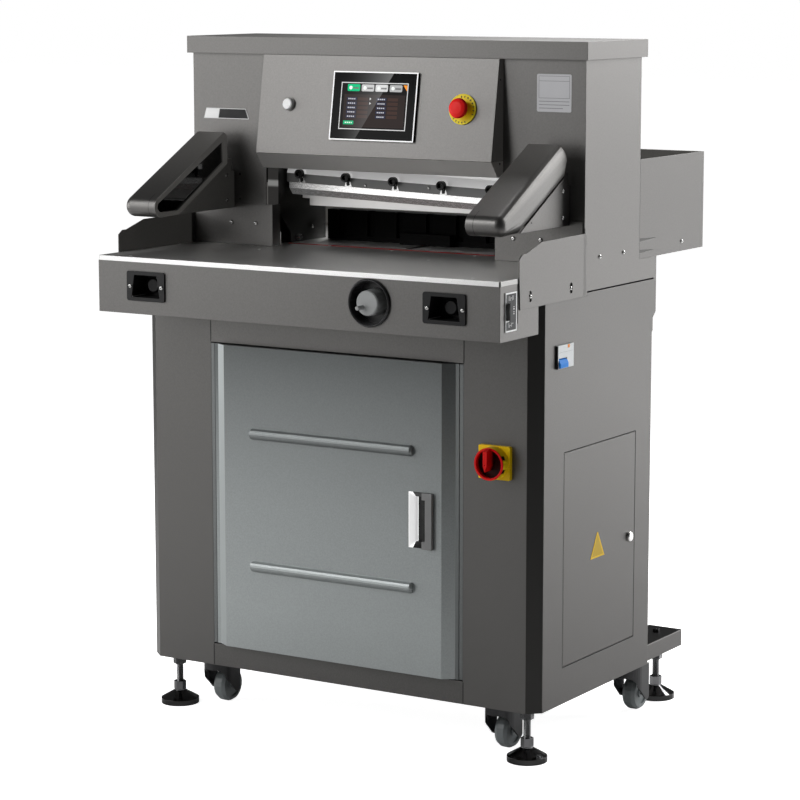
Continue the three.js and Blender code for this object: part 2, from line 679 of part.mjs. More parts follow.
function buildApron() {
  const inner = apron.halfWidth - sheet;
  const flangeHalf = wall - apron.flangeInset;
  let body = join(
    cut(
      block([-apron.halfWidth, apron.halfWidth], [apron.front, apron.rear], [apron.bottom, apron.top]),
      block([-inner, inner], [apron.front + sheet, apron.rear + overrun],
        [apron.bottom + sheet, apron.top + overrun]),
    ),
    block([-flangeHalf, flangeHalf], [apron.rear - overrun, apron.flangeRear],
      [apron.bottom, apron.bottom + sheet]),
  );
  const through = [apron.front - overrun, apron.front + overrun];
  for (const side of sides) {
    const x = side * recessX;
    body = cut(body, block([x - recess.cutHalf, x + recess.cutHalf], through,
      [recess.z - recess.cutHalfHeight, recess.z + recess.cutHalfHeight]));
  }
  body = cut(
    body,
    cylinder('y', wheelCup.hole, through, [wheelX, 0, wheelCup.z]),
    block([inner - overrun, apron.halfWidth + overrun], ...rockerHole()),
  );
  add('apron', body, 'body');
}

function buildStartControls() {
  const face = apron.front - gap;
  for (const side of sides) {
    const x = side * recessX;
    const backIn = face + recess.depth - recess.wall;
    const bezel = prism('y', rounded(x, recess.z, recess.halfWidth, recess.halfHeight, recess.corner),
      [face - recess.thickness, face]);
    const cup = prism('y', recessMouth(x, recess.wall), [face - weld, face + recess.depth]);
    const hollow = prism('y', recessMouth(x, 0), [face - recess.thickness - overrun, backIn]);
    const bore = cylinder('y', startButton.radius + gap, [backIn - overrun, backIn + overrun],
      [x, 0, recess.z]);
    add(`start_recess_${sideName(side)}`, cut(join(bezel, cup), hollow, bore), 'dark');
    const [front, back] = [backIn - startButton.proud, face + recess.depth + gap];
    const [r, c] = [startButton.radius, startButton.collar];
    add(`start_button_${sideName(side)}`, turned('y', [
      [0, front], [r - startButton.dome, front], [r, front + startButton.dome], [r, back], [c, back],
      [c, back + startButton.collarThick], [0, back + startButton.collarThick],
    ], [x, 0, recess.z]), 'dark');
  }
}

function buildHandwheel() {
  const face = apron.front - gap;
  const [ring, inner, proud] = [wheelCup.ring, wheelCup.inner, wheelCup.proud];
  const [edge, round] = [proud * wheelCup.edgeShare, proud * wheelCup.roundShare];
  const outer = inner + wheelCup.wall;
  const bottom = face + wheelCup.depth;
  add('handwheel_cup', turned('y', [
    [wheelCup.bore, bottom], [wheelCup.bore, bottom - wheelCup.wall], [inner, bottom - wheelCup.wall],
    [inner, face - edge], [inner + round, face - proud], [ring - round, face - proud],
    [ring, face - edge], [ring, face], [outer, face], [outer, bottom], [wheelCup.bore, bottom],
  ], [wheelX, 0, wheelCup.z]), 'dark');
  const behind = bottom + gap;
  const dial = turned('y', [
    [0, wheel.front], [wheel.face - wheel.chamfer, wheel.front], [wheel.face, wheel.front + wheel.chamfer],
    [wheel.skirt, wheel.back], [wheel.shaft, wheel.back], [wheel.shaft, behind], [wheel.collar, behind],
    [wheel.collar, behind + wheel.collarThick], [0, behind + wheel.collarThick],
  ], [wheelX, 0, wheelCup.z]);
  const pinFront = wheel.front - wheel.pinLength;
  const pin = turned('y', [
    [0, pinFront], [wheel.pin - wheel.pinChamfer, pinFront], [wheel.pin, pinFront + wheel.pinChamfer],
    [wheel.pin, wheel.front + wheel.chamfer], [0, wheel.front + wheel.chamfer],
  ], [wheelX + wheel.pinX, 0, wheelCup.z + wheel.pinZ], smallSteps);
  add('handwheel', join(dial, pin), 'grey');
}

function buildSideSwitch() {
  const inner = apron.halfWidth + gap;
  const outer = inner + sideSwitch.thickness;
  const [along, [bottom, top]] = rockerSpans();
  add('side_switch_plate', cut(
    block([inner, outer], [sideSwitch.front, sideSwitch.rear], [sideSwitch.bottom, sideSwitch.top]),
    block([inner - overrun, outer + overrun], ...rockerHole()),
  ), 'white');
  const middle = (bottom + top) / 2;
  const deep = outer - sideSwitch.rockerDeep;
  const proud = outer + sideSwitch.rockerProud;
  add('side_switch_rocker', prism('y', [
    [deep, middle - sideSwitch.dish], [outer, bottom + gap], [proud, bottom + sheet],
    [proud - sideSwitch.dish, middle], [proud, top - sheet], [outer, top - gap],
    [deep, middle + sideSwitch.dish],
  ], along), 'dark');
}

// Head: side and front panels with their ears, back, cap and fascia

function earCuts(side) {
  const through = [side * (ear.outer - overrun), side * (ear.outer + overrun)];
  const above = ear.top + 3 * overrun;
  const beyond = ear.tip - overrun;
  const slot = (y) => {
    const shape = rounded(y, ear.slotZ, ear.slotHalf, ear.slotHalfHeight, ear.slotHalf - weld);
    return prism('x', shape, through, arcSteps / 2);
  };
  const profile = prism('x', [
    [head.front - gap, ear.top], [ear.shoulder, ear.shoulderZ], [ear.notchRear, ear.notchZ],
    [ear.notchFront, ear.notchZ], [ear.tip, ear.tipTop], [beyond, ear.tipTop], [beyond, above],
    [head.front - gap, above],
  ], through);
  const lower = prism('x', [
    [ear.tip, ear.tipTop - 3 * overrun], [ear.low, head.earBottom], [ear.low, head.earBottom - overrun],
    [beyond, head.earBottom - overrun], [beyond, ear.tipTop - 3 * overrun],
  ], through);
  return [profile, lower, slot(ear.slotFront), slot(ear.slotRear)];
}

function buildHeadSide(side) {
  const inner = head.half - sheet;
  const flat = prism('x', [
    [head.front, head.top], [head.rear, head.top], [head.rear, head.lowTop], [head.rearLow, head.lowTop],
    [head.rearLow, head.tabBottom], [head.slitRear, head.tabBottom], [head.slitRear, head.slitTop],
    [cabinet.earRear, head.slitTop], [cabinet.earRear, head.earBottom], [ear.bendRear, head.earBottom],
    [ear.bendRear, ear.top], [head.front, ear.top],
  ], [side * inner, side * head.half]);
  const wing = cut(
    prism('z', mirrored(bent([
      [ear.outer, ear.tip], [ear.outer, ear.bendFront], [head.half, ear.bendRear],
      [head.half, cabinet.earRear],
    ], sheet), side), [head.earBottom, ear.top + overrun]),
    block([side * inner, side * ear.outer], [head.front, cabinet.earRear + overrun],
      [ear.top, ear.top + 2 * overrun]),
    ...earCuts(side),
  );
  const front = block([side * head.panelInner, side * head.half], [head.front, head.front + sheet],
    [head.panelBottom, head.top]);
  add(`head_${sideName(side)}_panel`, join(flat, wing, front), 'body');
}

function buildHeadBack() {
  const half = head.half - head.backInset;
  add('head_back_panel', block([-half, half], [head.backFace - sheet, head.backFace],
    [head.backBottom, head.top]), 'body');
}

function buildCap() {
  const inner = cap.half - sheet;
  const bottom = cap.top - cap.height;
  add('cap', cut(
    block([-cap.half, cap.half], [cap.front, cap.rear], [bottom, cap.top]),
    block([-inner, inner], [cap.front + sheet, cap.rear - sheet], [bottom - overrun, cap.top - sheet]),
  ), 'body');
}

function onFascia(solid) {
  const y = fascia.topY - (fascia.top - panel.z) * Math.tan(fasciaTilt);
  return tilted(solid, y, panel.z, -fasciaTilt);
}

function buildFascia() {
  const path = [
    [fascia.rear, fascia.top], [fascia.topY, fascia.top], [fascia.bendY, fascia.bend],
    [fascia.lipY, fascia.lip],
  ];
  const skin = prism('x', bent(path, sheet), [-fascia.half, fascia.half]);
  const ends = sides.map((side) => prism('x', [...path, [fascia.rear, fascia.lip]],
    [side * (fascia.half - sheet), side * fascia.half]));
  const through = [-overrun, overrun];
  const collar = cylinder('y', fascia.collar, [-fascia.collarProud, sheet], [-buttonX, 0, 0]);
  const holes = [
    block([-fascia.screenHalf, fascia.screenHalf], through,
      [-fascia.screenHalfHeight, fascia.screenHalfHeight]),
    cylinder('y', fascia.buttonHole, through, [-buttonX, 0, 0]),
    cylinder('y', fascia.stopHole, through, [buttonX, 0, 0]),
  ].map(onFascia);
  add('fascia', cut(join(skin, ...ends, onFascia(collar)), ...holes), 'body');
}

function buildPanelControls() {
  const screenBody = join(
    prism('y', rounded(0, 0, panel.screenHalf, panel.screenHalfHeight, panel.corner),
      [-panel.proud - gap, -gap]),
    block([-panel.bodyHalf, panel.bodyHalf], [-sheet, panel.bodyDepth],
      [-panel.bodyHalfHeight, panel.bodyHalfHeight]),
  );
  const floor = -panel.proud - gap + panel.windowDepth;
  const display = block([-panel.windowHalf, panel.windowHalf], [floor - overrun, floor],
    [-panel.windowHalfHeight, panel.windowHalfHeight]);
  add('control_screen', onFascia(cut(screenBody, display)), 'glass');
  const plate = cut(
    cylinder('y', stopButton.plate, [-stopButton.plateThick - gap, -gap], [buttonX, 0, 0],
      roundSteps + arcSteps),
    cylinder('y', fascia.stopHole, [-overrun, overrun], [buttonX, 0, 0]),
  );
  add('stop_button_plate', onFascia(plate), 'yellow');
  const behind = sheet + gap;
  const { head, edge, underside, crownDrop } = stopButton;
  add('stop_button', onFascia(turned('y', [
    [0, -stopButton.crown], [head - 2 * edge, -stopButton.crown + crownDrop],
    [head - edge / 2, -stopButton.crown + edge],
    [head, -underside - edge], [head - crownDrop, -underside],
    [stopButton.neck, -underside], [stopButton.neck, behind], [stopButton.collar, behind],
    [stopButton.collar, behind + stopButton.collarThick], [0, behind + stopButton.collarThick],
  ], [buttonX, 0, 0])), 'red');
  const front = -fascia.collarProud - whiteButton.proud;
  add('start_reset_button', onFascia(turned('y', [
    [0, front], [whiteButton.radius - whiteButton.edge, front],
    [whiteButton.radius, front + whiteButton.edge],
    [whiteButton.radius, behind], [whiteButton.collar, behind],
    [whiteButton.collar, behind + whiteButton.collarThick], [0, behind + whiteButton.collarThick],
  ], [-buttonX, 0, 0], smallSteps + arcSteps)), 'white');
}

// Front covers, arm brackets and curtain arms

function buildCover(side) {
  const path = [[cover.inner, cover.returnRear], [cover.inner, cover.face], [cover.outer, cover.face]];
  const plan = bent(path, sheet);
  add(`cover_${sideName(side)}`, prism('z', mirrored(plan, side), [table.top + gap, cover.top]), 'body');
}

function armOutline() {
  const slope = Math.atan((arm.top - arm.bottom - 2 * arm.nose) / (arm.topY - arm.noseY));
  const shape = new THREE.Shape();
  shape.moveTo(arm.lowerFrontY, arm.lowerFront);
  shape.lineTo(arm.lowerRearY, arm.lowerRear);
  shape.lineTo(arm.rear, arm.rearBottom);
  shape.lineTo(arm.rear, arm.rearTop);
  shape.lineTo(arm.topY, arm.top);
  shape.absarc(arm.noseY, arm.bottom + arm.nose, arm.nose, Math.PI / 2 + slope, Math.PI * 1.5, false);
  return shape;
}

function armInnerEnd(side) {
  const { edge, inner } = arm;
  const depth = 2 * arm.round;
  const geometry = new THREE.ExtrudeGeometry(armOutline(), {
    depth, bevelEnabled: true, bevelThickness: edge, bevelSize: edge, bevelOffset: -edge,
    bevelSegments: arm.edgeSteps, curveSegments: 2 * arcSteps,
  });
  const [x, y, z] = [new THREE.Vector3(1, 0, 0), new THREE.Vector3(0, 1, 0), new THREE.Vector3(0, 0, 1)];
  const start = side > 0 ? inner + edge : -inner - edge - depth;
  return solidOf(geometry.applyMatrix4(new THREE.Matrix4().makeBasis(y, z, x).setPosition(start, 0, 0)));
}

// The outer end bulges: its outline gathers towards the arm's middle line as it comes out.
function armRings(side) {
  const outline = armOutline().getPoints(2 * arcSteps);
  const nose = new THREE.Vector3(0, arm.noseY, arm.bottom + arm.nose);
  const line = new THREE.Line3(nose, new THREE.Vector3(0, arm.rear, (arm.rearTop + arm.rearBottom) / 2));
  const ring = (x, gather) => outline.map((p) => {
    const point = new THREE.Vector3(0, p.x, p.y);
    const near = line.closestPointToPoint(point, true, new THREE.Vector3());
    return point.lerp(near, gather).setX(side * x);
  });
  const turns = Array.from({ length: arm.domeSteps + 1 }, (unused, k) => k / arm.domeSteps * Math.PI / 2);
  const dome = turns.map((turn) => ring(
    arm.outer - arm.round + arm.dome * Math.sin(turn),
    arm.gatherShare * (1 - Math.cos(turn)),
  ));
  return [ring(arm.inner + arm.edge, 0), ...dome];
}

function buildArm(side) {
  const w = armWindow;
  const window = prism('x', [
    [w.topY, w.top], [w.topY, w.rearBottom], [w.lowerY, w.lower], [w.cornerY, w.corner], [w.noseY, w.nose],
    [w.upperY, w.upper],
  ], [side * (arm.inner - overrun), side * (arm.inner + w.depth)]);
  const body = join(lofted(armRings(side)), armInnerEnd(side));
  add(`curtain_arm_${sideName(side)}`, cut(body, window), 'body');
}

function buildBracket(side) {
  const gusset = [
    [bracket.rear, bracket.bottom], [arm.lowerFrontY, bracket.bottom],
    [arm.lowerRearY, arm.lowerRear - 2 * gap], [arm.rear + gap, arm.rearBottom - 2 * gap],
    [arm.rear + gap, bracket.hornTop], [bracket.hornY, bracket.hornTop], [bracket.hornY, bracket.backTop],
    [bracket.rear, bracket.backTop],
  ];
  const { inner, outer, plate } = bracket;
  const plates = [[inner, inner + plate], [outer - plate, outer]];
  add(`arm_bracket_${sideName(side)}`, join(
    block([side * inner, side * outer], [bracket.rear - plate, bracket.rear],
      [bracket.bottom, bracket.backTop]),
    ...plates.map(([a, b]) => prism('x', gusset, [side * a, side * b])),
  ), 'body');
}

// Press frame, clamp, knife and gauge

function buildPressFrame() {
  const outline = [
    [frame.footY, table.top + gap], [frame.footY, frame.footZ], [frame.front, frame.cornerZ],
    [frame.front, frame.top], [frame.rear, frame.top], [frame.rear, table.top + gap],
  ];
  const plates = sides.map((side) => prism('x', outline, [side * frame.inner, side * frame.outer]));
  const half = frame.inner + overrun;
  const beam = block([-half, half], [frame.headFront, frame.headRear], [frame.headBottom, frame.headTop]);
  const guideHalf = frame.inner - frame.guideWidth;
  const guides = sides.map((side) => block([side * guideHalf, side * half],
    [carrier.rear + gap, frame.guideRear], [frame.guideBottom, frame.headTop]));
  const through = [frame.headBottom - overrun, frame.headTop + overrun];
  const bores = sides.map((side) => cylinder('z', frame.rodBore, through, [side * rodX, clamp.rodY, 0],
    smallSteps));
  add('press_frame', cut(join(beam, ...plates, ...guides), ...bores), 'machined');
}

function buildClamp() {
  const rods = sides.map((side) => cylinder('z', clamp.rod, [clamp.bodyTop - overrun, clamp.rodTop],
    [side * rodX, clamp.rodY, 0], smallSteps));
  const lip = throat.half - clamp.lipInset;
  const body = throat.half - clamp.bodyInset;
  const shoe = throat.half - gap;
  add('clamp_beam', join(
    block([-lip, lip], [clamp.front, clamp.rear], [clamp.bottom, clamp.lipTop]),
    block([-body, body], [clamp.front, clamp.rear], [clamp.bodyBottom, clamp.bodyTop]),
    block([-shoe, shoe], [clamp.shoeFront, clamp.shoeRear], [clamp.shoeBottom, clamp.bodyTop]),
    ...rods,
  ), 'machined');
}

// A bar whose YZ outline stays the same while it drops towards the right.
function sloping(outline, half) {
  const shape = new THREE.Shape(outline.map(([y, z]) => new THREE.Vector2(y, z)));
  const geometry = new THREE.ExtrudeGeometry(shape, { depth: 2 * half, bevelEnabled: false });
  const place = new THREE.Matrix4().set(
    0, 0, 1, -half,
    1, 0, 0, 0,
    0, 1, -knife.slopeShare, knife.slopeShare * half,
    0, 0, 0, 1,
  );
  return solidOf(geometry.applyMatrix4(place));
}

function buildKnife() {
  add('knife_blade', sloping([
    [knife.rear, knife.edge], [knife.rear, knife.top], [knife.front, knife.top], [knife.front, knife.bevel],
  ], knife.half), 'steel');
  const over = knife.top + gap;
  const bar = sloping([
    [carrier.front, carrier.bottom], [carrier.front, carrier.shoulder],
    [carrier.slopeFront, carrier.slopeTop], [carrier.slopeFront, carrier.top],
    [carrier.rear, carrier.top], [carrier.rear, over], [knife.front - gap, over],
    [knife.front - gap, carrier.bottom],
  ], carrier.half);
  const bolts = Array.from({ length: carrier.boltCount }, (unused, i) => {
    const pitch = carrier.boltPitchShare * carrier.half;
    const x = (i - (carrier.boltCount - 1) / 2) * pitch + carrier.boltOffset;
    const z = carrier.shoulder - knife.slopeShare * x;
    const reach = [carrier.front - carrier.boltProud, carrier.front + sheet];
    return cylinder('y', carrier.bolt, reach, [x, 0, z + sheet], smallSteps);
  });
  add('knife_carrier', join(bar, ...bolts), 'machined');
}

function buildGauge() {
  const low = table.top + gauge.lift;
  const plate = block([-gauge.half, gauge.half], [gauge.front, gauge.rear], [low, gauge.top]);
  const teeth = Array.from({ length: gauge.toothCount }, (unused, i) => {
    const x = (i - (gauge.toothCount - 1) / 2) * 2 * gauge.half / gauge.toothCount;
    return block([x - gauge.toothHalf, x + gauge.toothHalf],
      [gauge.front - overrun, gauge.front + gauge.toothDepth], [low + overrun, gauge.top + overrun]);
  });
  const carriage = block([-gauge.footHalf, gauge.footHalf], [gauge.footFront, gauge.footRear],
    [low, gauge.footTop]);
  const along = [gauge.neckFront, gauge.neckRear];
  const neck = block([-gauge.neckHalf, gauge.neckHalf], along, [gauge.nutTop - overrun, low + overrun]);
  const nut = cut(
    join(neck, block([-gauge.nutHalf, gauge.nutHalf], along, [gauge.nutBottom, gauge.nutTop])),
    cylinder('y', screw.bore, [gauge.neckFront - overrun, gauge.neckRear + overrun], [0, 0, screw.z]),
  );
  add('back_gauge', join(cut(plate, ...teeth), carriage, nut), 'machined');
  const thick = screw.collarThick;
  const stop = screw.frontBearing + screw.bearingDepth + gap;
  add('gauge_screw', turned('y', [
    [0, screw.front], [screw.radius, screw.front], [screw.radius, stop], [screw.collar, stop],
    [screw.collar, stop + thick], [screw.radius, stop + thick], [screw.radius, screw.rear], [0, screw.rear],
  ], [0, 0, screw.z], smallSteps), 'steel');
}

function buildGuard() {
  const plan = bent([
    [guard.half, guard.front], [guard.half, guard.rear],
    [-guard.half, guard.rear], [-guard.half, guard.front],
  ], sheet);
  let body = prism('z', plan, [guard.bottom, guard.top]);
  const walls = guard.half - sheet;
  body = join(body, block([-walls - weld, walls + weld], [guard.rear - guard.flange, guard.rear - weld],
    [guard.top - sheet, guard.top]));
  for (const side of sides) {
    for (const [rear, z] of [[tabs.upperRear, tabs.upper], [tabs.lowerRear, tabs.lower]]) {
      const [front, half] = [tabs.front - overrun, tabs.height / 2];
      const wedge = prism('x', [[front, z - half], [rear, z], [front, z + half]],
        [side * (guard.half - tabs.depth), side * (guard.half + overrun)]);
      body = cut(body, wedge);
    }
  }
  add('rear_guard', body, 'body');
}

// Doors, switches and the power unit inside the cabinet

function doorBar(z) {
  const [half, radius, tip] = [door.barHalf, door.barRadius, door.barRadius * door.barTipShare];
  const bar = turned('x', [
    [0, -half], [tip, -half + door.barTip], [radius, -half + radius / 2],
    [radius, half - radius / 2], [tip, half - door.barTip], [0, half],
  ], [0, door.face, z], smallSteps);
  return cut(bar, block([-door.half, door.half], [door.face + sheet / 2, door.face + 2 * radius],
    [z - 2 * radius, z + 2 * radius]));
}

function buildFrontDoor() {
  const right = [
    [door.faceHalf, door.face], [door.flangeHalf, door.flat], [door.half, door.flat],
    [door.half, door.inner],
  ];
  const path = [...mirrored(right, -1).reverse(), ...right];
  const skin = prism('z', bent(path, sheet), [door.bottom, door.top]);
  const lid = (z) => prism('z', path, [z, z + sheet]);
  const hole = block([pull.right - pull.width - gap, pull.right + gap],
    [door.face - overrun, door.face + sheet + overrun], [pull.bottom - gap, pull.top + gap]);
  const bars = [door.upperBar, door.lowerBar].map(doorBar);
  add('front_door', cut(join(skin, lid(door.bottom), lid(door.top - sheet), ...bars), hole), 'door');
}

function buildPull() {
  const { right, bottom, top, rim, shell, slopeX, slopeZ } = pull;
  const left = right - pull.width;
  const [face, bend, floor] = [door.face, door.face + pull.slopeDepth, door.face + pull.depth];
  const front = face - pull.proud;
  const deep = [[left + slopeX, right], [bottom + slopeZ, top - slopeZ]];
  const inside = [[left + slopeX + shell, right - shell], [bottom + slopeZ + shell, top - slopeZ - shell]];
  const cup = cut(
    join(
      tapered([[left, right], [bottom, top]], face, deep, bend),
      block(deep[0], [bend - weld, floor + shell], deep[1]),
    ),
    tapered([[left + rim, right - rim], [bottom + rim, top - rim]], face - weld, inside, bend),
    block(inside[0], [bend - weld, floor], inside[1]),
  );
  const across = [front, face + pull.gripDepth];
  const grip = join(
    block([right - pull.grip, right], across, [bottom, top]),
    block([right - pull.gripArm, right], across, [top - pull.armTop, top]),
    block([right - pull.gripArm, right], across, [bottom, bottom + pull.armBottom]),
  );
  add('door_pull', join(cup, grip), 'steel');
}

function buildHatch() {
  const inner = cabinet.halfWidth - sheet;
  const at = [0, hatch.lockY, hatch.lockZ];
  add('inspection_door', cut(
    block([inner, cabinet.halfWidth], [hatch.front, hatch.rear], [hatch.bottom, hatch.top]),
    cylinder('x', hatch.lockBore, [inner - overrun, cabinet.halfWidth + overrun], at, smallSteps),
  ), 'body');
  const face = cabinet.halfWidth + gap;
  const deep = cabinet.halfWidth - lock.shaftDeep;
  const knob = turned('x', [
    [0, deep], [lock.shaft, deep], [lock.shaft, face], [lock.radius, face],
    [lock.radius, face + lock.proud - lock.edge], [lock.radius - lock.edge, face + lock.proud],
    [0, face + lock.proud],
  ], at, smallSteps);
  const cam = block([deep, deep + lock.camThick],
    [hatch.lockY - lock.camWidth, hatch.lockY + lock.camWidth],
    [hatch.lockZ - lock.camLength, hatch.lockZ]);
  add('inspection_lock', join(knob, cam), 'steel');
}

function isolatorFin(front, floor) {
  const { x, z, finHalf, finTop, finShoulder, finLow, finTip, finProud } = isolator;
  const [neck, nose] = [front + isolator.flange / 2, front - finProud];
  const fin = (top, reach) => prism('y', [
    [x - finHalf, z + top], [x - finHalf, z - finLow], [x, z - finTip], [x + finHalf, z - finLow],
    [x + finHalf, z + top],
  ], reach);
  const slope = prism('x', [
    [front, z + finShoulder], [nose, z + finTop], [nose - overrun, z + finTop],
    [nose - overrun, z + 2 * finTop], [front, z + 2 * finTop],
  ], [x - 2 * finHalf, x + 2 * finHalf]);
  const mark = cylinder('y', isolator.mark, [nose - overrun, nose + sheet], [x, 0, z], 2 * arcSteps);
  const inside = fin(isolator.pocket + sheet / 2, [neck, floor]);
  return cut(join(fin(finShoulder, [nose, neck]), inside), slope, mark);
}

function buildIsolator() {
  const at = [isolator.x, 0, isolator.z];
  const [x, , z] = at;
  const face = cabinet.front - gap;
  const plateFront = face - isolator.thickness;
  const collarFront = plateFront - isolator.collarProud;
  const slots = sides.map((side) => block([x - 2 * isolator.collar, x + 2 * isolator.collar],
    [collarFront - overrun, collarFront + isolator.windowDepth],
    [z + side * isolator.windowBottom, z + side * isolator.windowTop]));
  const collar = cut(
    cylinder('y', isolator.collar, [collarFront, plateFront + sheet], at),
    cylinder('y', isolator.collarInner, [collarFront - overrun, plateFront], at),
    ...slots,
  );
  const plate = prism('y', rounded(x, z, isolator.halfWidth, isolator.halfHeight, isolator.corner),
    [plateFront, face]);
  add('isolator_plate', cut(
    join(plate, collar),
    cylinder('y', isolator.bore, [plateFront - overrun, face + overrun], at, smallSteps),
  ), 'yellow');
  const rear = collarFront - gap;
  const front = rear - isolator.flange;
  const floor = front + isolator.pocketDepth;
  const back = floor + isolator.floor;
  const deep = cabinet.front + isolator.shaftDeep;
  const dial = turned('y', [
    [0, floor], [isolator.pocket, floor], [isolator.pocket, front], [isolator.knob, front],
    [isolator.knob, rear], [isolator.body, rear], [isolator.body, back], [isolator.shaft, back],
    [isolator.shaft, deep], [0, deep],
  ], at);
  add('isolator_knob', join(dial, isolatorFin(front, floor + sheet)), 'red');
}

function buildBreaker() {
  const outer = wall + breaker.proud;
  const [pivotX, z] = [wall - toggle.inset, (breaker.bottom + breaker.top) / 2 - toggle.drop];
  const along = [toggle.y - toggle.half, toggle.y + toggle.half];
  const freely = [along[0] - gap, along[1] + gap];
  add('breaker_body', cut(
    block([outer - breaker.depth, outer], [breaker.front, breaker.rear], [breaker.bottom, breaker.top]),
    cylinder('y', toggle.bore, freely, [pivotX, 0, z], smallSteps),
    block([pivotX, outer + overrun], freely, [z - breaker.mouthHalf, z + breaker.mouthHalf]),
  ), 'white');
  const barrel = cylinder('y', toggle.radius, along, [pivotX, 0, z], smallSteps);
  const paddle = prism('y', lever.map(([u, v]) => [pivotX + u, z + v]), along);
  add('breaker_toggle', join(barrel, paddle), 'blue');
}

function buildPowerUnit() {
  const tank = block([-power.halfX, power.halfX], [power.front, power.rear], [power.bottom, power.top]);
  const low = power.top - sheet;
  const motorAt = [power.motorX, power.y, 0];
  const fillerAt = [power.fillerX, power.front + 2 * power.filler, 0];
  const motor = cylinder('z', power.motor, [low, power.motorTop], motorAt);
  const capRing = cylinder('z', power.cap,
    [power.motorTop - power.capThick, power.motorTop + power.capThick], motorAt);
  const valves = block([power.blockX - power.block, power.blockX + power.block],
    [power.y - power.block, power.y + power.block], [low, power.blockTop]);
  const filler = cylinder('z', power.filler, [low, power.fillerTop], fillerAt, smallSteps);
  add('hydraulic_unit', join(tank, motor, capRing, valves, filler), 'tank');
}

buildBase();
buildFeet();
buildCasters();
sides.forEach(buildCabinetSide);
buildCabinetFront();
buildCabinetBack();
buildTable();
buildApron();
buildStartControls();
buildHandwheel();
buildSideSwitch();
sides.forEach(buildHeadSide);
buildHeadBack();
buildCap();
buildFascia();
buildPanelControls();
sides.forEach(buildCover);
sides.forEach(buildBracket);
sides.forEach(buildArm);
buildPressFrame();
buildClamp();
buildKnife();
buildGauge();
buildGuard();
buildFrontDoor();
buildPull();
buildHatch();
buildIsolator();
buildBreaker();
buildPowerUnit();

// The origin is the middle of the footprint, on the floor.
const whole = new THREE.Box3().setFromObject(group);
const middle = whole.getCenter(new THREE.Vector3());
group.position.set(-middle.x, -middle.y, -whole.min.z);

export default group;
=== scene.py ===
import math

import bmesh
import bpy
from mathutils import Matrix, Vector


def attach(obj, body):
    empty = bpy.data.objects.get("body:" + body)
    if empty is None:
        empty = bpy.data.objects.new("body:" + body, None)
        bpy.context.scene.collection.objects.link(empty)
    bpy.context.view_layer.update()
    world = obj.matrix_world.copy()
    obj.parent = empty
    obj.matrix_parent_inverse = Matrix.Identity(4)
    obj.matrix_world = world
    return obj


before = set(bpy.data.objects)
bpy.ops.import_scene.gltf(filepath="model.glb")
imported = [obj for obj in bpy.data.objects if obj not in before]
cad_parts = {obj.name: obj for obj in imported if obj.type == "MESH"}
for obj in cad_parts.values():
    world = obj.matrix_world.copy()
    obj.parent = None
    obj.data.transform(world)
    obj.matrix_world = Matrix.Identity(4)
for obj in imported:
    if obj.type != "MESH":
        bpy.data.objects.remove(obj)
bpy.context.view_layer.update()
MM = 0.001

# Lengths in millimetres
AHEAD = 17.5  # small pieces are placed in the frame of the cut, whose y lies this far ahead
SCREEN_MIDDLE = 1243.6  # height of the control screen's middle
GLASS_HALF_WIDTH, GLASS_HALF_HEIGHT = 98.4, 68.4
SIDE_FACE, COVER_FACE, SWITCH_FACE, BREAKER_FACE = 458, 458.9, 460.7, 462.7  # x of faces

# Places on the machine in metres, for finishes that change there
LEVEL_SPAN = 1.4  # height that a ramp of levels covers
BAND_HEIGHT = 1.077  # painted band of light on the press frame
FRAME_FRONT = -0.0448  # just behind the front of the press frame
PULL_SLOPE_END, PULL_GRIP_BACK = 0.1905, -0.2737  # handle of the door: x and y where its painted highlight and shade change
KNOB_MIDDLE, KNOB_REACH = (0.367, 0.5884), 0.0276  # isolator knob: x and z, and its radius
# front and back of the knob's painted pocket shade, and where its black body starts
KNOB_FRONT, KNOB_BODY, KNOB_BACK = -0.2895, -0.2887, -0.2772
RIGHT_CORNER = (0.4331, None, -0.2593, -0.2379, None, None)  # bevel of the cabinet's corner, which takes painted shade

KNIFE_SLOPE = 0.031  # fall of the knife's edge along x
ALONG_X = (1, 40, 40)  # draws noise out into lines along x


# Shader building: values that take Python's operators, and one method for every other node
class Amount:
    """A number that varies over a surface. Python's operators on it add Math nodes."""

    def __init__(self, finish, socket):
        self.finish = finish
        self.socket = socket

    def maths(self, operation, *terms, clamp=False):
        settings = {"operation": operation, "use_clamp": clamp}
        inputs = dict(enumerate(terms))
        return Amount(self.finish, self.finish.node("Math", settings, inputs).outputs[0])

    def __add__(self, other):
        return self.maths("ADD", self, other)

    def __radd__(self, other):
        return self.maths("ADD", other, self)

    def __sub__(self, other):
        return self.maths("SUBTRACT", self, other)

    def __rsub__(self, other):
        return self.maths("SUBTRACT", other, self)

    def __mul__(self, other):
        return self.maths("MULTIPLY", self, other)

    def __truediv__(self, other):
        return self.maths("DIVIDE", self, other)

    def __pow__(self, other):
        return self.maths("POWER", self, other)

    def __gt__(self, other):
        return self.maths("GREATER_THAN", self, other)

    def __lt__(self, other):
        return self.maths("LESS_THAN", self, other)

    def __abs__(self):
        return self.maths("ABSOLUTE", self)

    def clamped(self):
        return self.maths("ADD", self, 0, clamp=True)

    def sine(self):
        return self.maths("SINE", self)


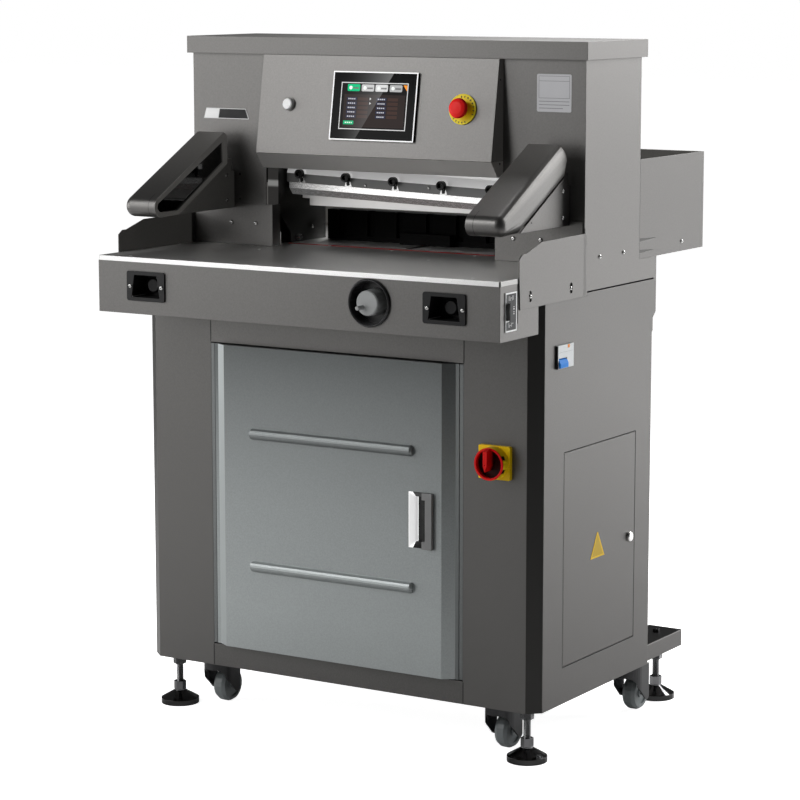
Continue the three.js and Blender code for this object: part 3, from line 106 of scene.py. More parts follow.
class Finish:
    """A material built from nodes on the piece's own coordinates, in metres."""

    def __init__(self, name):
        self.material = bpy.data.materials.new(name)
        self.material.use_nodes = True
        self.tree = self.material.node_tree
        self.tree.nodes.clear()
        self.place = self.node("TexCoord").outputs["Object"]

    def node(self, kind, settings=None, inputs=None):
        """Adds a node, makes its settings, then fills its sockets with values or links."""
        made = self.tree.nodes.new("ShaderNode" + kind)
        for key, value in (settings or {}).items():
            if key == "stops":
                self.set_stops(made.color_ramp, value)
            else:
                setattr(made, key, value)
        for key, value in (inputs or {}).items():
            self.fill(made.inputs[key], value)
        return made

    def set_stops(self, ramp, stops):
        while len(ramp.elements) < len(stops):
            ramp.elements.new(0.5)
        for element, (position, colour) in zip(ramp.elements, stops):
            element.position = position
            element.color = (*colour, 1)

    def fill(self, socket, value):
        value = getattr(value, "socket", value)
        if isinstance(value, bpy.types.NodeSocket):
            self.tree.links.new(value, socket)
        elif socket.type == "RGBA" and len(value) == 3:
            socket.default_value = (*value, 1)
        else:
            socket.default_value = value

    def along(self):
        """The surface point's x, y and z."""
        parts = self.node("SeparateXYZ", inputs={0: self.place}).outputs
        return [Amount(self, part) for part in parts]

    def noise(self, scale, detail=2.0, roughness=0.5, stretch=None):
        """Noise from 0 to 1 with that many grains a metre, drawn out by stretch."""
        where = self.place
        if stretch is not None:
            where = self.node("Mapping", inputs={"Vector": where, "Scale": stretch}).outputs[0]
        sockets = {"Vector": where, "Scale": scale, "Detail": detail, "Roughness": roughness}
        return Amount(self, self.node("TexNoise", inputs=sockets).outputs["Fac"])

    def mix(self, share, first, second, blend="MIX"):
        """Two colours mixed by a share from 0 to 1."""
        made = self.node("Mix", {"data_type": "RGBA", "blend_type": blend})
        self.fill(made.inputs[0], share)
        self.fill(made.inputs[6], first)
        self.fill(made.inputs[7], second)
        return made.outputs[2]

    def between(self, value, low, high):
        """0 at low, 1 at high and smooth in between."""
        settings = {"interpolation_type": "SMOOTHSTEP"}
        made = self.node("MapRange", settings, {0: value, 1: low, 2: high, 3: 0.0, 4: 1.0})
        return Amount(self, made.outputs[0])

    def inside(self, box, x, y, z):
        """1 inside a box and 0 outside; None leaves an end open."""
        share = 1.0
        for value, low, high in zip((x, y, z), box[::2], box[1::2]):
            if low is not None:
                share = (value > low) * share
            if high is not None:
                share = (value < high) * share
        return share

    def bump(self, height, strength, distance, soft_edge):
        """A normal from a height; soft_edge rounds the sharp corners of the solid."""
        inputs = {"Height": height, "Strength": strength, "Distance": distance,
                  "Normal": self.node("Bevel", {"samples": 6}, {0: soft_edge}).outputs[0]}
        return self.node("Bump", inputs=inputs).outputs[0]

    def surface(self, **sockets):
        """The closing Principled shader. Names are the socket names with _ for a space."""
        inputs = {key.replace("_", " "): value for key, value in sockets.items()}
        shader = self.node("BsdfPrincipled", inputs=inputs)
        self.node("OutputMaterial", inputs={0: shader.outputs[0]})
        return self.material


def paint(material, *names):
    """Gives CAD nodes a finish."""
    for name in names:
        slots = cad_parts[name].data.materials
        slots.clear()
        slots.append(material)


# Finishes
def shaded(colour, share):
    """A colour made darker or paler by a share."""
    return [part * share for part in colour]


def neutral(level):
    """A grey of that level."""
    return (level, level, level)


def warm(level, blue=0.9):
    """The slightly warm light that comes back from parts nearby."""
    return (level, level * 0.97, level * blue)


def powder_coat(name, colour, roughness=0.42, sheen=0.85, peel=0.1, gloss=0.5, seam=None,
                lift=None, levels=(), shades=(), bounce=(), crest=None):
    """Metallic powder paint: fine orange peel, dark and pale grains, slow drift in shade.

    seam = (place, half width, rear end) draws a dark joint across x, on both sides.
    lift = (colour, high, low): a painted fade to another colour downwards, light or shade.
    levels = (height, share) pairs: painted shade that changes with the height.
    shades = (x low, x high, y low, y high, z low, z high, share) boxes of painted shade or light.
    bounce = such rows with a level: a box where some light comes back from what stands near.
    crest = (low, high, level) adds some light upwards.
    """
    finish = Finish(name)
    grain = finish.noise(1500, detail=3, roughness=0.6)
    mottle = finish.noise(330, detail=2)
    drift = finish.noise(2.3, detail=3)
    shade = (grain - 0.5) * 0.6 + (mottle - 0.5) * 0.8 + (drift - 0.5) * 0.12 + 0.5
    tint = finish.mix(shade.clamped(), shaded(colour, 0.82), shaded(colour, 1.18))
    x, y, z = finish.along()
    if lift:
        other, high, low = lift
        tint = finish.mix(1 - finish.between(z, low, high), tint, other)
    if seam:
        middle, half, rear = seam
        joint = (abs(abs(x) - middle) < half) * (y < rear)
        tint = finish.mix(joint, tint, shaded(colour, 0.25))
    if levels:
        stops = [(height / LEVEL_SPAN, neutral(share)) for height, share in levels]
        fade = finish.node("ValToRGB", {"stops": stops}, {0: z / LEVEL_SPAN}).outputs[0]
        tint = finish.mix(1.0, tint, fade, blend="MULTIPLY")
    for *box, share in shades:
        tint = finish.mix(finish.inside(box, x, y, z), tint, shaded(colour, share))
    light = neutral(0)
    for *box, level in bounce:
        light = finish.mix(finish.inside(box, x, y, z), light, warm(level))
    if crest:
        low, high, level = crest
        light = finish.mix(finish.between(z, low, high), light, warm(level, blue=0.92))
    return finish.surface(
        Base_Color=tint,
        Emission_Color=light,
        Emission_Strength=1.0,
        Metallic=sheen,
        Specular_IOR_Level=gloss,
        Roughness=roughness + (grain - 0.5) * 0.1 + (drift - 0.5) * 0.06,
        Normal=finish.bump(mottle * 0.7 + grain * 0.3, peel, 0.0004, 0.0012),
    )


def drawn_lines(finish, stretch=ALONG_X, scale=90):
    """Fine lines left by grinding or drawing."""
    return finish.noise(scale, detail=6, roughness=0.7, stretch=stretch)


def ground_steel(name, colour, roughness, stretch=ALONG_X):
    """Ground or drawn steel with fine lines along one axis."""
    finish = Finish(name)
    lines = drawn_lines(finish, stretch)
    smudge = finish.noise(14, detail=4)
    shade = (lines - 0.5) * 0.8 + (smudge - 0.5) * 0.3 + 0.5
    return finish.surface(
        Base_Color=finish.mix(shade.clamped(), shaded(colour, 0.78), colour),
        Metallic=1.0,
        Roughness=roughness + (lines - 0.5) * 0.16 + (smudge - 0.5) * 0.06,
        Normal=finish.bump(lines, 0.1, 0.0002, 0.0008),
    )


def plastic(name, colour, roughness=0.35, texture=0.06, coat=0.0, gloss=0.5):
    """Moulded plastic with a fine even texture."""
    finish = Finish(name)
    grain = finish.noise(1400, detail=2)
    drift = finish.noise(9, detail=3)
    shade = (grain - 0.5) * 0.3 + (drift - 0.5) * 0.3 + 0.5
    pale = [min(1.0, part) for part in shaded(colour, 1.08)]
    return finish.surface(
        Base_Color=finish.mix(shade.clamped(), shaded(colour, 0.88), pale),
        Roughness=roughness + (grain - 0.5) * 0.1 + (drift - 0.5) * 0.06,
        Coat_Weight=coat,
        Specular_IOR_Level=gloss,
        Normal=finish.bump(grain, texture, 0.0003, 0.0006),
    )


def knife_finish(name, layers, roughness, metallic):
    """Steel with painted bands of light and dark reflection at heights that slope along the knife.

    layers are (height, shade, glow), where glow stands for light thrown back by the machine.
    """
    finish = Finish(name)
    x, y, z = finish.along()
    height = z + x * KNIFE_SLOPE
    lines = drawn_lines(finish, scale=70)
    (_, shade, glow), *upper = layers
    for low, value, lit in upper:
        above = finish.between(height, low - 0.0004, low + 0.0004)
        shade = finish.mix(above, shade, value)
        glow = finish.mix(above, glow, lit)
    shade = finish.mix((lines - 0.5) * 0.2 + 0.06, shade, neutral(0.02))
    return finish.surface(
        Base_Color=shade,
        Emission_Color=finish.mix(lines * 0.2, glow, neutral(0)),
        Emission_Strength=1.0,
        Metallic=metallic,
        Roughness=roughness + (lines - 0.5) * 0.14,
        Normal=finish.bump(lines, 0.03, 0.0002, 0.0006),
    )


def press_iron(name):
    """Machined iron whose front edge glows faintly, with a brighter band: painted light."""
    finish = Finish(name)
    x, y, z = finish.along()
    lines = drawn_lines(finish, (40, 40, 1))
    band = finish.between(abs(z - BAND_HEIGHT), 0.009, 0.003)
    light = finish.mix(band, (0.028, 0.027, 0.026), (0.2, 0.2, 0.195))
    return finish.surface(
        Base_Color=finish.mix(lines, (0.07, 0.07, 0.068), (0.09, 0.09, 0.088)),
        Emission_Color=finish.mix(y < FRAME_FRONT, neutral(0), light),
        Emission_Strength=1.0,
        Metallic=1.0,
        Roughness=lines * 0.16 + 0.26,
        Normal=finish.bump(lines, 0.1, 0.0002, 0.0008),
    )


def threaded_chrome(name, low, high, pitch, rim):
    """Chrome with a rim below painted dark as shade and, between two heights, a fine thread."""
    finish = Finish(name)
    x, y, z = finish.along()
    groove = (z * (2 * math.pi / pitch)).sine()
    inside = (z > low) * (z < high)
    smudge = finish.noise(30, detail=4)
    chrome = finish.mix(smudge, (0.15, 0.15, 0.155), (0.24, 0.24, 0.245))
    return finish.surface(
        Base_Color=finish.mix(z < rim, chrome, neutral(0.06)),
        Metallic=1.0,
        Roughness=smudge * 0.08 + 0.06,
        Normal=finish.bump(groove * inside, 0.5, 0.0006, 0.0008),
    )


def strip_finish(name, ends):
    """Drawn edge strip: bright along the front, grey at its two ends."""
    finish = Finish(name)
    x, y, z = finish.along()
    lines = drawn_lines(finish)
    tint = finish.mix(abs(x) > ends, (0.98, 0.98, 0.97), (0.3, 0.298, 0.29))
    return finish.surface(
        Base_Color=finish.mix(lines * 0.4, tint, neutral(0.2)),
        Metallic=0.6,
        Roughness=lines * 0.2 + 0.2,
        Normal=finish.bump(lines, 0.1, 0.0002, 0.0008),
    )


def painted_glass_sheen(finish):
    """Painted reflection: a pale sheen on the left of the screen's glass, up to a slanting edge."""
    x, y, z = finish.along()
    up = (z - SCREEN_MIDDLE * MM) / (GLASS_HALF_HEIGHT * MM)
    edge = up * 0.0419 + 0.0019
    half = GLASS_HALF_WIDTH * MM
    near = ((x + half) / (edge + half)).clamped() ** 2.5
    return near * (x < edge) * (up * 0.35 + 0.65) * 0.17


def screen_glass(name):
    """Black glass that glows with its painted reflection."""
    finish = Finish(name)
    smudge = finish.noise(60, detail=3)
    return finish.surface(
        Base_Color=finish.mix(smudge, (0.002, 0.002, 0.0022), (0.004, 0.004, 0.0045)),
        Roughness=smudge * 0.06 + 0.1,
        Specular_IOR_Level=0.05,
        Emission_Color=finish.mix(painted_glass_sheen(finish), neutral(0), neutral(1)),
        Emission_Strength=1.0,
    )


def printed(name, roughness=0.4, glow=0.0, sheen=False):
    """Print, film and lamp colours carried by each face; sheen adds the glass's painted reflection.
    """
    finish = Finish(name)
    tint = finish.node("Attribute", {"attribute_name": "tint"}).outputs["Color"]
    wear = finish.noise(40, detail=3)
    light = tint
    if sheen:
        light = finish.mix(painted_glass_sheen(finish), tint, neutral(1))
    return finish.surface(
        Base_Color=finish.mix(wear * (0.02 if sheen else 0.12), tint, neutral(0.3)),
        Roughness=roughness + (wear - 0.5) * 0.08,
        Specular_IOR_Level=0.04 if sheen else 0.12,
        Emission_Color=light,
        Emission_Strength=glow,
    )


def polished_pull(name):
    """Polished handle: white glowing slope on the left (painted highlight), black cup (painted
    shade), grey grip in front.
    """
    finish = Finish(name)
    x, y, z = finish.along()
    smudge = finish.noise(40, detail=3)
    slope, grip = x < PULL_SLOPE_END, y < PULL_GRIP_BACK
    tint = finish.mix(grip, finish.mix(slope, neutral(0.012), neutral(1)), neutral(0.19))
    return finish.surface(
        Base_Color=finish.mix(smudge * 0.1, tint, neutral(0.3)),
        Emission_Color=finish.mix(slope * (y > PULL_GRIP_BACK), neutral(0), neutral(0.5)),
        Emission_Strength=1.0,
        Metallic=0.2,
        Specular_IOR_Level=0.3,
        Roughness=smudge * 0.1 + 0.2,
        Normal=finish.bump(smudge, 0.03, 0.0002, 0.0005),
    )


def isolator_red(name):
    """Red knob darkened into its pocket by painted shade, on a black body."""
    finish = Finish(name)
    x, y, z = finish.along()
    grain = finish.noise(1300, detail=2)
    across, above = x - KNOB_MIDDLE[0], z - KNOB_MIDDLE[1]
    reach = (across * across + above * above) ** 0.5
    pocket_shade = finish.between(y, KNOB_FRONT, KNOB_BACK)
    tint = finish.mix(pocket_shade, (0.68, 0.002, 0.002), (0.03, 0, 0))
    body = (y > KNOB_BODY) * (reach > KNOB_REACH)
    return finish.surface(
        Base_Color=finish.mix(grain * 0.15, finish.mix(body, tint, neutral(0.006)), neutral(0)),
        Specular_IOR_Level=0.15,
        Roughness=grain * 0.1 + 0.4,
        Normal=finish.bump(grain, 0.05, 0.0003, 0.0006),
    )


def breaker_shell(name, end):
    """Pale moulding whose front end is painted dark as shade."""
    finish = Finish(name)
    x, y, z = finish.along()
    grain = finish.noise(1200, detail=2)
    return finish.surface(
        Base_Color=finish.mix(y < end, (0.6, 0.625, 0.635), (0.02, 0.02, 0.022)),
        Roughness=grain * 0.1 + 0.3,
        Normal=finish.bump(grain, 0.05, 0.0003, 0.0005),
    )


GREY = (0.131, 0.1275, 0.1235)
# pale steel of the knife's painted bright bands
BRIGHT = (0.95, 0.94, 0.93)
# painted shade on the bevel of the cabinet's front right corner
corner_shade = [(*RIGHT_CORNER, 0.4)]
body_paint = powder_coat("warm grey powder coat", GREY)
# Cabinet: a darker copy of the grey as painted shade, with a painted fade to paler grey downwards
cabinet_paint = powder_coat("cabinet powder coat", shaded(GREY, 0.83), shades=corner_shade,
                            lift=(shaded(GREY, 0.99), 0.9, 0.12))
# Columns: a darker copy of the grey as painted shade, with the corner's painted shade
column_paint = powder_coat("column powder coat", shaded(GREY, 0.92), shades=corner_shade)
# Rear guard: a darker copy of the grey as painted shade
guard_paint = powder_coat("rear guard powder coat", shaded(GREY, 0.88), shades=[
    (0.4562, 0.4574, None, 0.23, None, None, 0.5),  # painted shade in the pressed wedges on the right
], bounce=[
    (-0.4565, 0.4561, 0.15, 0.4375, None, None, 0.05),  # inner faces
])
base_paint = powder_coat("base frame powder coat", GREY, shades=[
    (None, None, 0.2251, None, 0.1397, None, 0.1),  # painted shade on the tops of the rear beams
    (0.4485, None, 0.2251, None, 0.1375, 0.1397, 1.9),  # painted highlight on the outer edge of the right one
])
left_head_paint = powder_coat("left head powder coat", GREY, bounce=[
    (-0.4605, -0.4572, None, -0.095, None, None, 0.014),  # inner face of the left ear
])
bracket_paint = powder_coat("bracket powder coat", GREY, bounce=[
    (-0.3585, -0.353, None, None, None, None, 0.012),  # left one, towards the throat
])
arm_paint = powder_coat("arm powder coat", GREY, 0.36, seam=(0.3716, 0.0005, -0.336), bounce=[
    (-0.3565, -0.352, None, None, None, None, 0.035),  # left one, towards the throat
], crest=(1.05, 1.19, 0.045))
# Fascia: a paler copy of the grey as painted light
fascia_paint = powder_coat("fascia powder coat", shaded(GREY, 1.12), bounce=[
    (0.2735, 0.2757, None, -0.078, None, None, 0.014),  # right flank
], lift=((0.68, 0.665, 0.65), 1.1448, 1.1438))  # painted light on the pale edge below
# Door: painted shade that darkens it upwards
door_paint = powder_coat("light blue-grey powder coat", (0.37, 0.395, 0.395), sheen=0.7, levels=(
    (0, 1), (0.24, 0.96), (0.45, 0.74), (0.6, 0.52), (0.7, 0.37), (0.77, 0.28),
), shades=[
    (-0.2775, -0.2545, None, None, 0.153, 0.769, 1.12),  # painted highlight on the left bevel
    (0.2772, 0.2856, None, None, None, None, 0.4),  # painted shade on the right flank
])
# near black as painted shade for the inside of the head and the back gauge
inner_paint = powder_coat("black inner paint", neutral(0.002), 0.6, 0.0, gloss=0.05)
fork_paint = powder_coat("caster fork paint", (0.05, 0.05, 0.052), roughness=0.32, sheen=0.6)
# darker copy of the door's colour: painted shade for the strips in the gaps beside the door
door_side_paint = powder_coat("door side powder coat", (0.15, 0.158, 0.158), sheen=0.7)
tank_paint = powder_coat("tank paint", (0.12, 0.125, 0.13), roughness=0.5, sheen=0.0)
table_steel = powder_coat("dark plated table", (0.56, 0.555, 0.545), 0.34, peel=0.03)
strip_steel = strip_finish("bright drawn strip", ends=0.4561)
bright_steel = ground_steel("bright ground steel", (0.86, 0.85, 0.84), 0.26)
foot_steel = threaded_chrome("threaded chrome", low=0.047, high=0.105, pitch=0.002, rim=0.0115)
iron = press_iron("machined iron")
# knife steels: bands of painted reflection, light and dark, with glow
blade_steel = knife_finish("ground knife steel", [
    (0, (0.45, 0.45, 0.44), neutral(0.08)),
    (1.0591, BRIGHT, neutral(0.1)),
], roughness=0.27, metallic=0.7)
carrier_steel = knife_finish("knife carrier steel", [
    (0, (0.12, 0.12, 0.118), neutral(0.01)),
    (1.0905, BRIGHT, neutral(0.26)),
], roughness=0.42, metallic=0.35)
clamp_steel = knife_finish("clamp steel", [
    (0, (0.6, 0.59, 0.58), neutral(0)),
    (1.056, neutral(0.05), neutral(0)),
], roughness=0.34, metallic=0.6)
stick_red = plastic("red cutting stick", (0.5, 0.008, 0.008), 0.6, gloss=0.05)
black_plastic = plastic("black plastic", (0.012, 0.012, 0.013), 0.38)
dead_black = plastic("matt black plastic", neutral(0.003), 0.6, gloss=0.03)
recess_plastic = plastic("black recess plastic", (0.009, 0.009, 0.0095), 0.45, gloss=0.22)
grey_plastic = plastic("grey plastic", (0.32, 0.33, 0.33), 0.35)
pull_chrome = polished_pull("polished handle")
screen_black = screen_glass("black screen glass")
yellow = plastic("yellow plastic", (0.84, 0.55, 0.003), 0.4, gloss=0.2)
disc_yellow = plastic("bright yellow disc", (1.0, 0.79, 0.006), 0.4, gloss=0.25)
red = isolator_red("isolator red")
button_red = plastic("bright red button", (1.0, 0.02, 0.018), 0.4, gloss=0.12)
white = plastic("white plastic", (0.93, 0.94, 0.94), 0.3)
blue = plastic("blue plastic", (0.002, 0.24, 0.8), 0.4, gloss=0.12)
# front end painted dark as shade
shell = breaker_shell("pale breaker moulding", end=-0.1941)
rubber = plastic("grey tyre", (0.22, 0.24, 0.245), 0.36, 0.1)
socket_black = ground_steel("blackened screw steel", neutral(0.022), 0.3, (1, 1, 1))
screw_steel = ground_steel("plated screw steel", (0.6, 0.6, 0.59), 0.24, (1, 1, 1))
glass_black = plastic("black window glass", (0.0015, 0.0015, 0.0016), 0.05, 0.0, coat=1.0)
print_ink = printed("printed film")
# lit picture of the screen, with the glass's painted reflection on it
lit_ink = printed("lit screen", 0.12, 0.7, sheen=True)
# pale print that also glows: painted light
bright_ink = printed("bright print", 0.4, 0.4)

sides = ("left", "right")
corners = ("front_left", "front_right", "rear_left", "rear_right")
paint(body_paint, "apron", "cap", "head_right_panel")
paint(left_head_paint, "head_left_panel")
paint(cabinet_paint, "cabinet_back_panel", "cabinet_left_panel", "cabinet_right_panel",
      "inspection_door")
paint(column_paint, "cabinet_front_frame")
paint(guard_paint, "rear_guard")
paint(base_paint, "base_frame")
paint(fascia_paint, "fascia")
paint(inner_paint, "head_back_panel", "back_gauge")
for side in sides:
    paint(bracket_paint, "arm_bracket_" + side)
    paint(body_paint, "cover_" + side)
    paint(arm_paint, "curtain_arm_" + side)
    paint(recess_plastic, "start_button_" + side, "start_recess_" + side)
for corner in corners:
    paint(fork_paint, "caster_fork_" + corner)
    paint(rubber, "caster_wheel_" + corner)
    paint(foot_steel, "foot_" + corner)
paint(door_paint, "front_door")
paint(iron, "press_frame")
paint(clamp_steel, "clamp_beam")
paint(carrier_steel, "knife_carrier")
paint(blade_steel, "knife_blade")
paint(bright_steel, "gauge_screw", "inspection_lock")
paint(pull_chrome, "door_pull")
paint(strip_steel, "table_edge_strip")
paint(table_steel, "table_bed")
paint(stick_red, "cutting_stick")
paint(black_plastic, "handwheel_cup")
paint(grey_plastic, "handwheel")
paint(white, "side_switch_plate")
paint(dead_black, "side_switch_rocker")
paint(screen_black, "control_screen")
paint(yellow, "isolator_plate")
paint(disc_yellow, "stop_button_plate")
paint(red, "isolator_knob")
paint(button_red, "stop_button")
paint(white, "start_reset_button")
paint(shell, "breaker_body")
paint(blue, "breaker_toggle")
paint(tank_paint, "hydraulic_unit")


# Small pieces
def spot(x, y, z):
    """A place in millimetres in the frame of the cut, brought to the part's frame in metres."""
    return Vector((x, y - AHEAD, z)) * MM


class Plane:
    """A flat face with its right, up and outward directions."""

    def __init__(self, origin, right, up):
        self.origin = Vector(origin)
        self.right = Vector(right).normalized()
        self.up = Vector(up).normalized()
        self.out = self.right.cross(self.up)

    def at(self, across, along, off=0.0):
        return self.origin + self.right * across + self.up * along + self.out * off


class Shape:
    """Gathers closed solids, each with its tint, into one mesh."""

    def __init__(self):
        self.points, self.faces, self.tints = [], [], []

    def solid(self, rings, tint=(1, 1, 1)):
        """Rings of the same length joined in turn, with both ends closed."""
        start, count = len(self.points), len(rings[0])
        self.points += [tuple(spot(*point)) for ring in rings for point in ring]
        made = [list(range(start, start + count))[::-1]]
        for step in range(len(rings) - 1):
            low = start + step * count
            for this in range(count):
                after = (this + 1) % count
                made.append([low + this, low + after, low + count + after, low + count + this])
        last = start + (len(rings) - 1) * count
        made.append(list(range(last, last + count)))
        self.faces += made
        self.tints += [tint] * len(made)

    def slab(self, plane, outline, low, high, tint=(1, 1, 1)):
        """A flat outline on a face, from one height over it to another."""
        rings = [[plane.at(across, along, off) for across, along in outline] for off in (low, high)]
        self.solid(rings, tint)

    def turned(self, plane, profile, steps):
        """Circles (radius, height) about a face's origin; a third value makes one a hexagon."""
        rings = []
        for radius, height, *kind in profile:
            ring = []
            for step in range(steps):
                turn = 2 * math.pi * step / steps
                reach = radius
                if kind:
                    reach /= math.cos((turn + math.pi / 6) % (math.pi / 3) - math.pi / 6)
                ring.append(plane.at(reach * math.cos(turn), reach * math.sin(turn), height))
            rings.append(ring)
        self.solid(rings)

    def mesh(self, name, material):
        made = bpy.data.meshes.new(name)
        made.from_pydata(self.points, [], self.faces)
        tint = made.attributes.new("tint", "FLOAT_COLOR", "CORNER")
        for face, colour in zip(made.polygons, self.tints):
            face.use_smooth = True
            for corner in face.loop_indices:
                tint.data[corner].color = (*colour, 1)
        shell_mesh = bmesh.new()
        shell_mesh.from_mesh(made)
        bmesh.ops.recalc_face_normals(shell_mesh, faces=shell_mesh.faces)
        shell_mesh.to_mesh(made)
        shell_mesh.free()
        made.set_sharp_from_angle(angle=math.radians(35))
        made.materials.append(material)
        return made

    def place(self, name, body, material, slot):
        """Makes the object and ties it to a body; slot is not used."""
        made = bpy.data.objects.new(name, self.mesh(name, material))
        bpy.context.scene.collection.objects.link(made)
        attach(made, body)


def rectangle(left, right, low, high, corner=0.0):
    """An outline, with its corners rounded when asked for."""
    if not corner:
        return [(left, low), (right, low), (right, high), (left, high)]
    outline = []
    middles = [(right - corner, low + corner, -90), (right - corner, high - corner, 0),
               (left + corner, high - corner, 90), (left + corner, low + corner, 180)]
    for across, along, start in middles:
        for step in range(5):
            turn = math.radians(start + 90 * step / 4)
            outline.append((across + corner * math.cos(turn), along + corner * math.sin(turn)))
    return outline


def border(shape, plane, outer, width, low, high, tint):
    """A closed line of that width just inside a rectangle: four mitred bars."""
    left, right, bottom, top = outer
    inner = (left + width, right - width, bottom + width, top - width)
    outside = [(left, bottom), (right, bottom), (right, top), (left, top)]
    inside = [(inner[0], inner[2]), (inner[1], inner[2]), (inner[1], inner[3]),
              (inner[0], inner[3])]
    for side in range(4):
        after = (side + 1) % 4
        bar = [outside[side], outside[after], inside[after], inside[side]]
        shape.slab(plane, bar, low, high, tint)


def front(x, y, z):
    """A face towards the user."""
    return Plane((x, y, z), (1, 0, 0), (0, 0, 1))


def right_side(x, y, z):
    """A face towards the right."""
    return Plane((x, y, z), (0, 1, 0), (0, 0, 1))


def left_side(x, y, z):
    """A face towards the left."""
    return Plane((x, y, z), (0, -1, 0), (0, 0, 1))


# Fixings set in place by Geometry Nodes
def fixing_nodes():
    """Places copies of a fixing on points, each turned to its own facing."""
    tree = bpy.data.node_groups.new("set fixings", "GeometryNodeTree")
    sockets = {}
    for label, kind in (("Places", "Geometry"), ("Fixing", "Object"), ("Finish", "Material")):
        sockets[label] = tree.interface.new_socket(label, in_out="INPUT",
                                                   socket_type="NodeSocket" + kind).identifier
    tree.interface.new_socket("Geometry", in_out="OUTPUT", socket_type="NodeSocketGeometry")
    new, join = tree.nodes.new, tree.links.new
    given, out = new("NodeGroupInput"), new("NodeGroupOutput")
    facing = new("GeometryNodeInputNamedAttribute")
    facing.data_type = "FLOAT_VECTOR"
    facing.inputs["Name"].default_value = "facing"
    align = new("FunctionNodeAlignRotationToVector")
    align.axis = "Z"
    spin = new("FunctionNodeRandomValue")
    spin.data_type = "FLOAT"
    spin.inputs[3].default_value = 2 * math.pi
    spin.inputs["Seed"].default_value = 3
    axle = new("FunctionNodeAxisAngleToRotation")
    axle.inputs["Axis"].default_value = (0, 0, 1)
    turn = new("FunctionNodeRotateRotation")
    turn.rotation_space = "LOCAL"
    copy, info = new("GeometryNodeInstanceOnPoints"), new("GeometryNodeObjectInfo")
    real, finish = new("GeometryNodeRealizeInstances"), new("GeometryNodeSetMaterial")
    join(facing.outputs["Attribute"], align.inputs["Vector"])
    join(spin.outputs[1], axle.inputs["Angle"])
    join(align.outputs[0], turn.inputs[0])
    join(axle.outputs[0], turn.inputs[1])
    join(given.outputs["Fixing"], info.inputs["Object"])
    join(given.outputs["Places"], copy.inputs["Points"])
    join(info.outputs["Geometry"], copy.inputs["Instance"])
    join(turn.outputs[0], copy.inputs["Rotation"])
    join(copy.outputs[0], real.inputs[0])
    join(real.outputs[0], finish.inputs["Geometry"])
    join(given.outputs["Finish"], finish.inputs["Material"])
    join(finish.outputs[0], out.inputs[0])
    return tree, sockets


fixing_tree, fixing_sockets = fixing_nodes()


def set_fixings(name, profile, places, body, material, steps=24):
    """Turns one fixing and sets it at every (x, y, z, facing)."""
    pattern = Shape()
    pattern.turned(Plane((0, AHEAD, 0), (1, 0, 0), (0, 1, 0)), profile, steps)
    fixing = bpy.data.objects.new(name + "_pattern", pattern.mesh(name + "_pattern", material))
    points = bpy.data.meshes.new(name + "_places")
    points.from_pydata([tuple(spot(x, y, z)) for x, y, z, facing in places], [], [])
    facing = points.attributes.new("facing", "FLOAT_VECTOR", "POINT")
    for value, place in zip(facing.data, places):
        value.vector = place[3]
    carrier = bpy.data.objects.new(name + "_places", points)
    for thing in (fixing, carrier):
        bpy.context.scene.collection.objects.link(thing)
    setter = carrier.modifiers.new("set fixings", "NODES")
    setter.node_group = fixing_tree
    setter[fixing_sockets["Fixing"]] = fixing
    setter[fixing_sockets["Finish"]] = material
    graph = bpy.context.evaluated_depsgraph_get()
    mesh = bpy.data.meshes.new_from_object(carrier.evaluated_get(graph))
    mesh.name = name
    for thing in (fixing, carrier):
        bpy.data.objects.remove(thing)
    made = bpy.data.objects.new(name, mesh)
    bpy.context.scene.collection.objects.link(made)
    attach(made, body)


# Facings of the fixings
RIGHT, LEFT, USER, BACK, UP = (1, 0, 0), (-1, 0, 0), (0, -1, 0), (0, 1, 0), (0, 0, 1)


def both_sides(rows):
    """Adds each place's mirror image on the other side of the machine."""
    mirrored = [(-x, y, z, (-facing[0], facing[1], facing[2])) for x, y, z, facing in rows]
    return rows + mirrored


def dome_screw(radius, height, socket):
    """Profile of a button-head screw with a hexagon socket. socket is the socket's half width."""
    return [(radius, 0), (radius, 0.2 * height), (0.93 * radius, 0.55 * height),
            (0.72 * radius, 0.9 * height), (0.55 * radius, height),
            (socket + 0.25, height), (socket, 0.93 * height, 6), (0.9 * socket, 0.35 * height, 6)]


# Screws of the start recesses; of the ears, brackets, sides and rear guard; of the back
set_fixings("recess_screws", dome_screw(4.2, 2.6, 1.5), [
    (x, -395.7, 894.6, USER) for x in (306, 382, -302.5, -378.5)
], "machine", screw_steel)
set_fixings("button_screws", dome_screw(4.4, 2.6, 1.5), both_sides([
    (303, -68.3, 996.1, USER), (363.5, -68.3, 996.1, USER),
    (426, -96.5, 1094.6, RIGHT), (426, -96.5, 1044.1, RIGHT),
    (356, -96.5, 1094.6, LEFT), (356, -96.5, 1044.1, LEFT),
    (COVER_FACE, -280.5, 913.6, RIGHT), (SIDE_FACE, -121, 913.6, RIGHT),
    (SIDE_FACE, -3, 963.1, RIGHT), (SIDE_FACE, 97, 962.9, RIGHT), (SIDE_FACE, 356.3, 963.5, RIGHT),
]), "machine", screw_steel)
set_fixings("back_screws", dome_screw(4.0, 2.2, 1.4), both_sides([
    (438, 242.5, 905, BACK), (438, 242.5, 850, BACK), (438, 226.6, 170, BACK),
    (438, 226.6, 520, BACK), (140, 242.5, 905, BACK), (140, 226.6, 170, BACK),
]), "machine", screw_steel)

# White plugs in the table
set_fixings("table_inserts", [(3.4, 0), (3.4, 0.35), (2.9, 0.45), (1.5, 0.45), (1.3, 0.2)], [
    (-396, -370, 951, UP), (-450, -133, 951, UP), (-9.5, -361, 951, UP), (383.5, -362, 951, UP),
    (-169, 3, 951, UP), (-6.6, -16, 951, UP), (187, -17, 951, UP), (150, -133, 951, UP),
    (400, -133, 951, UP), (-250, -133, 951, UP),
], "machine", white)

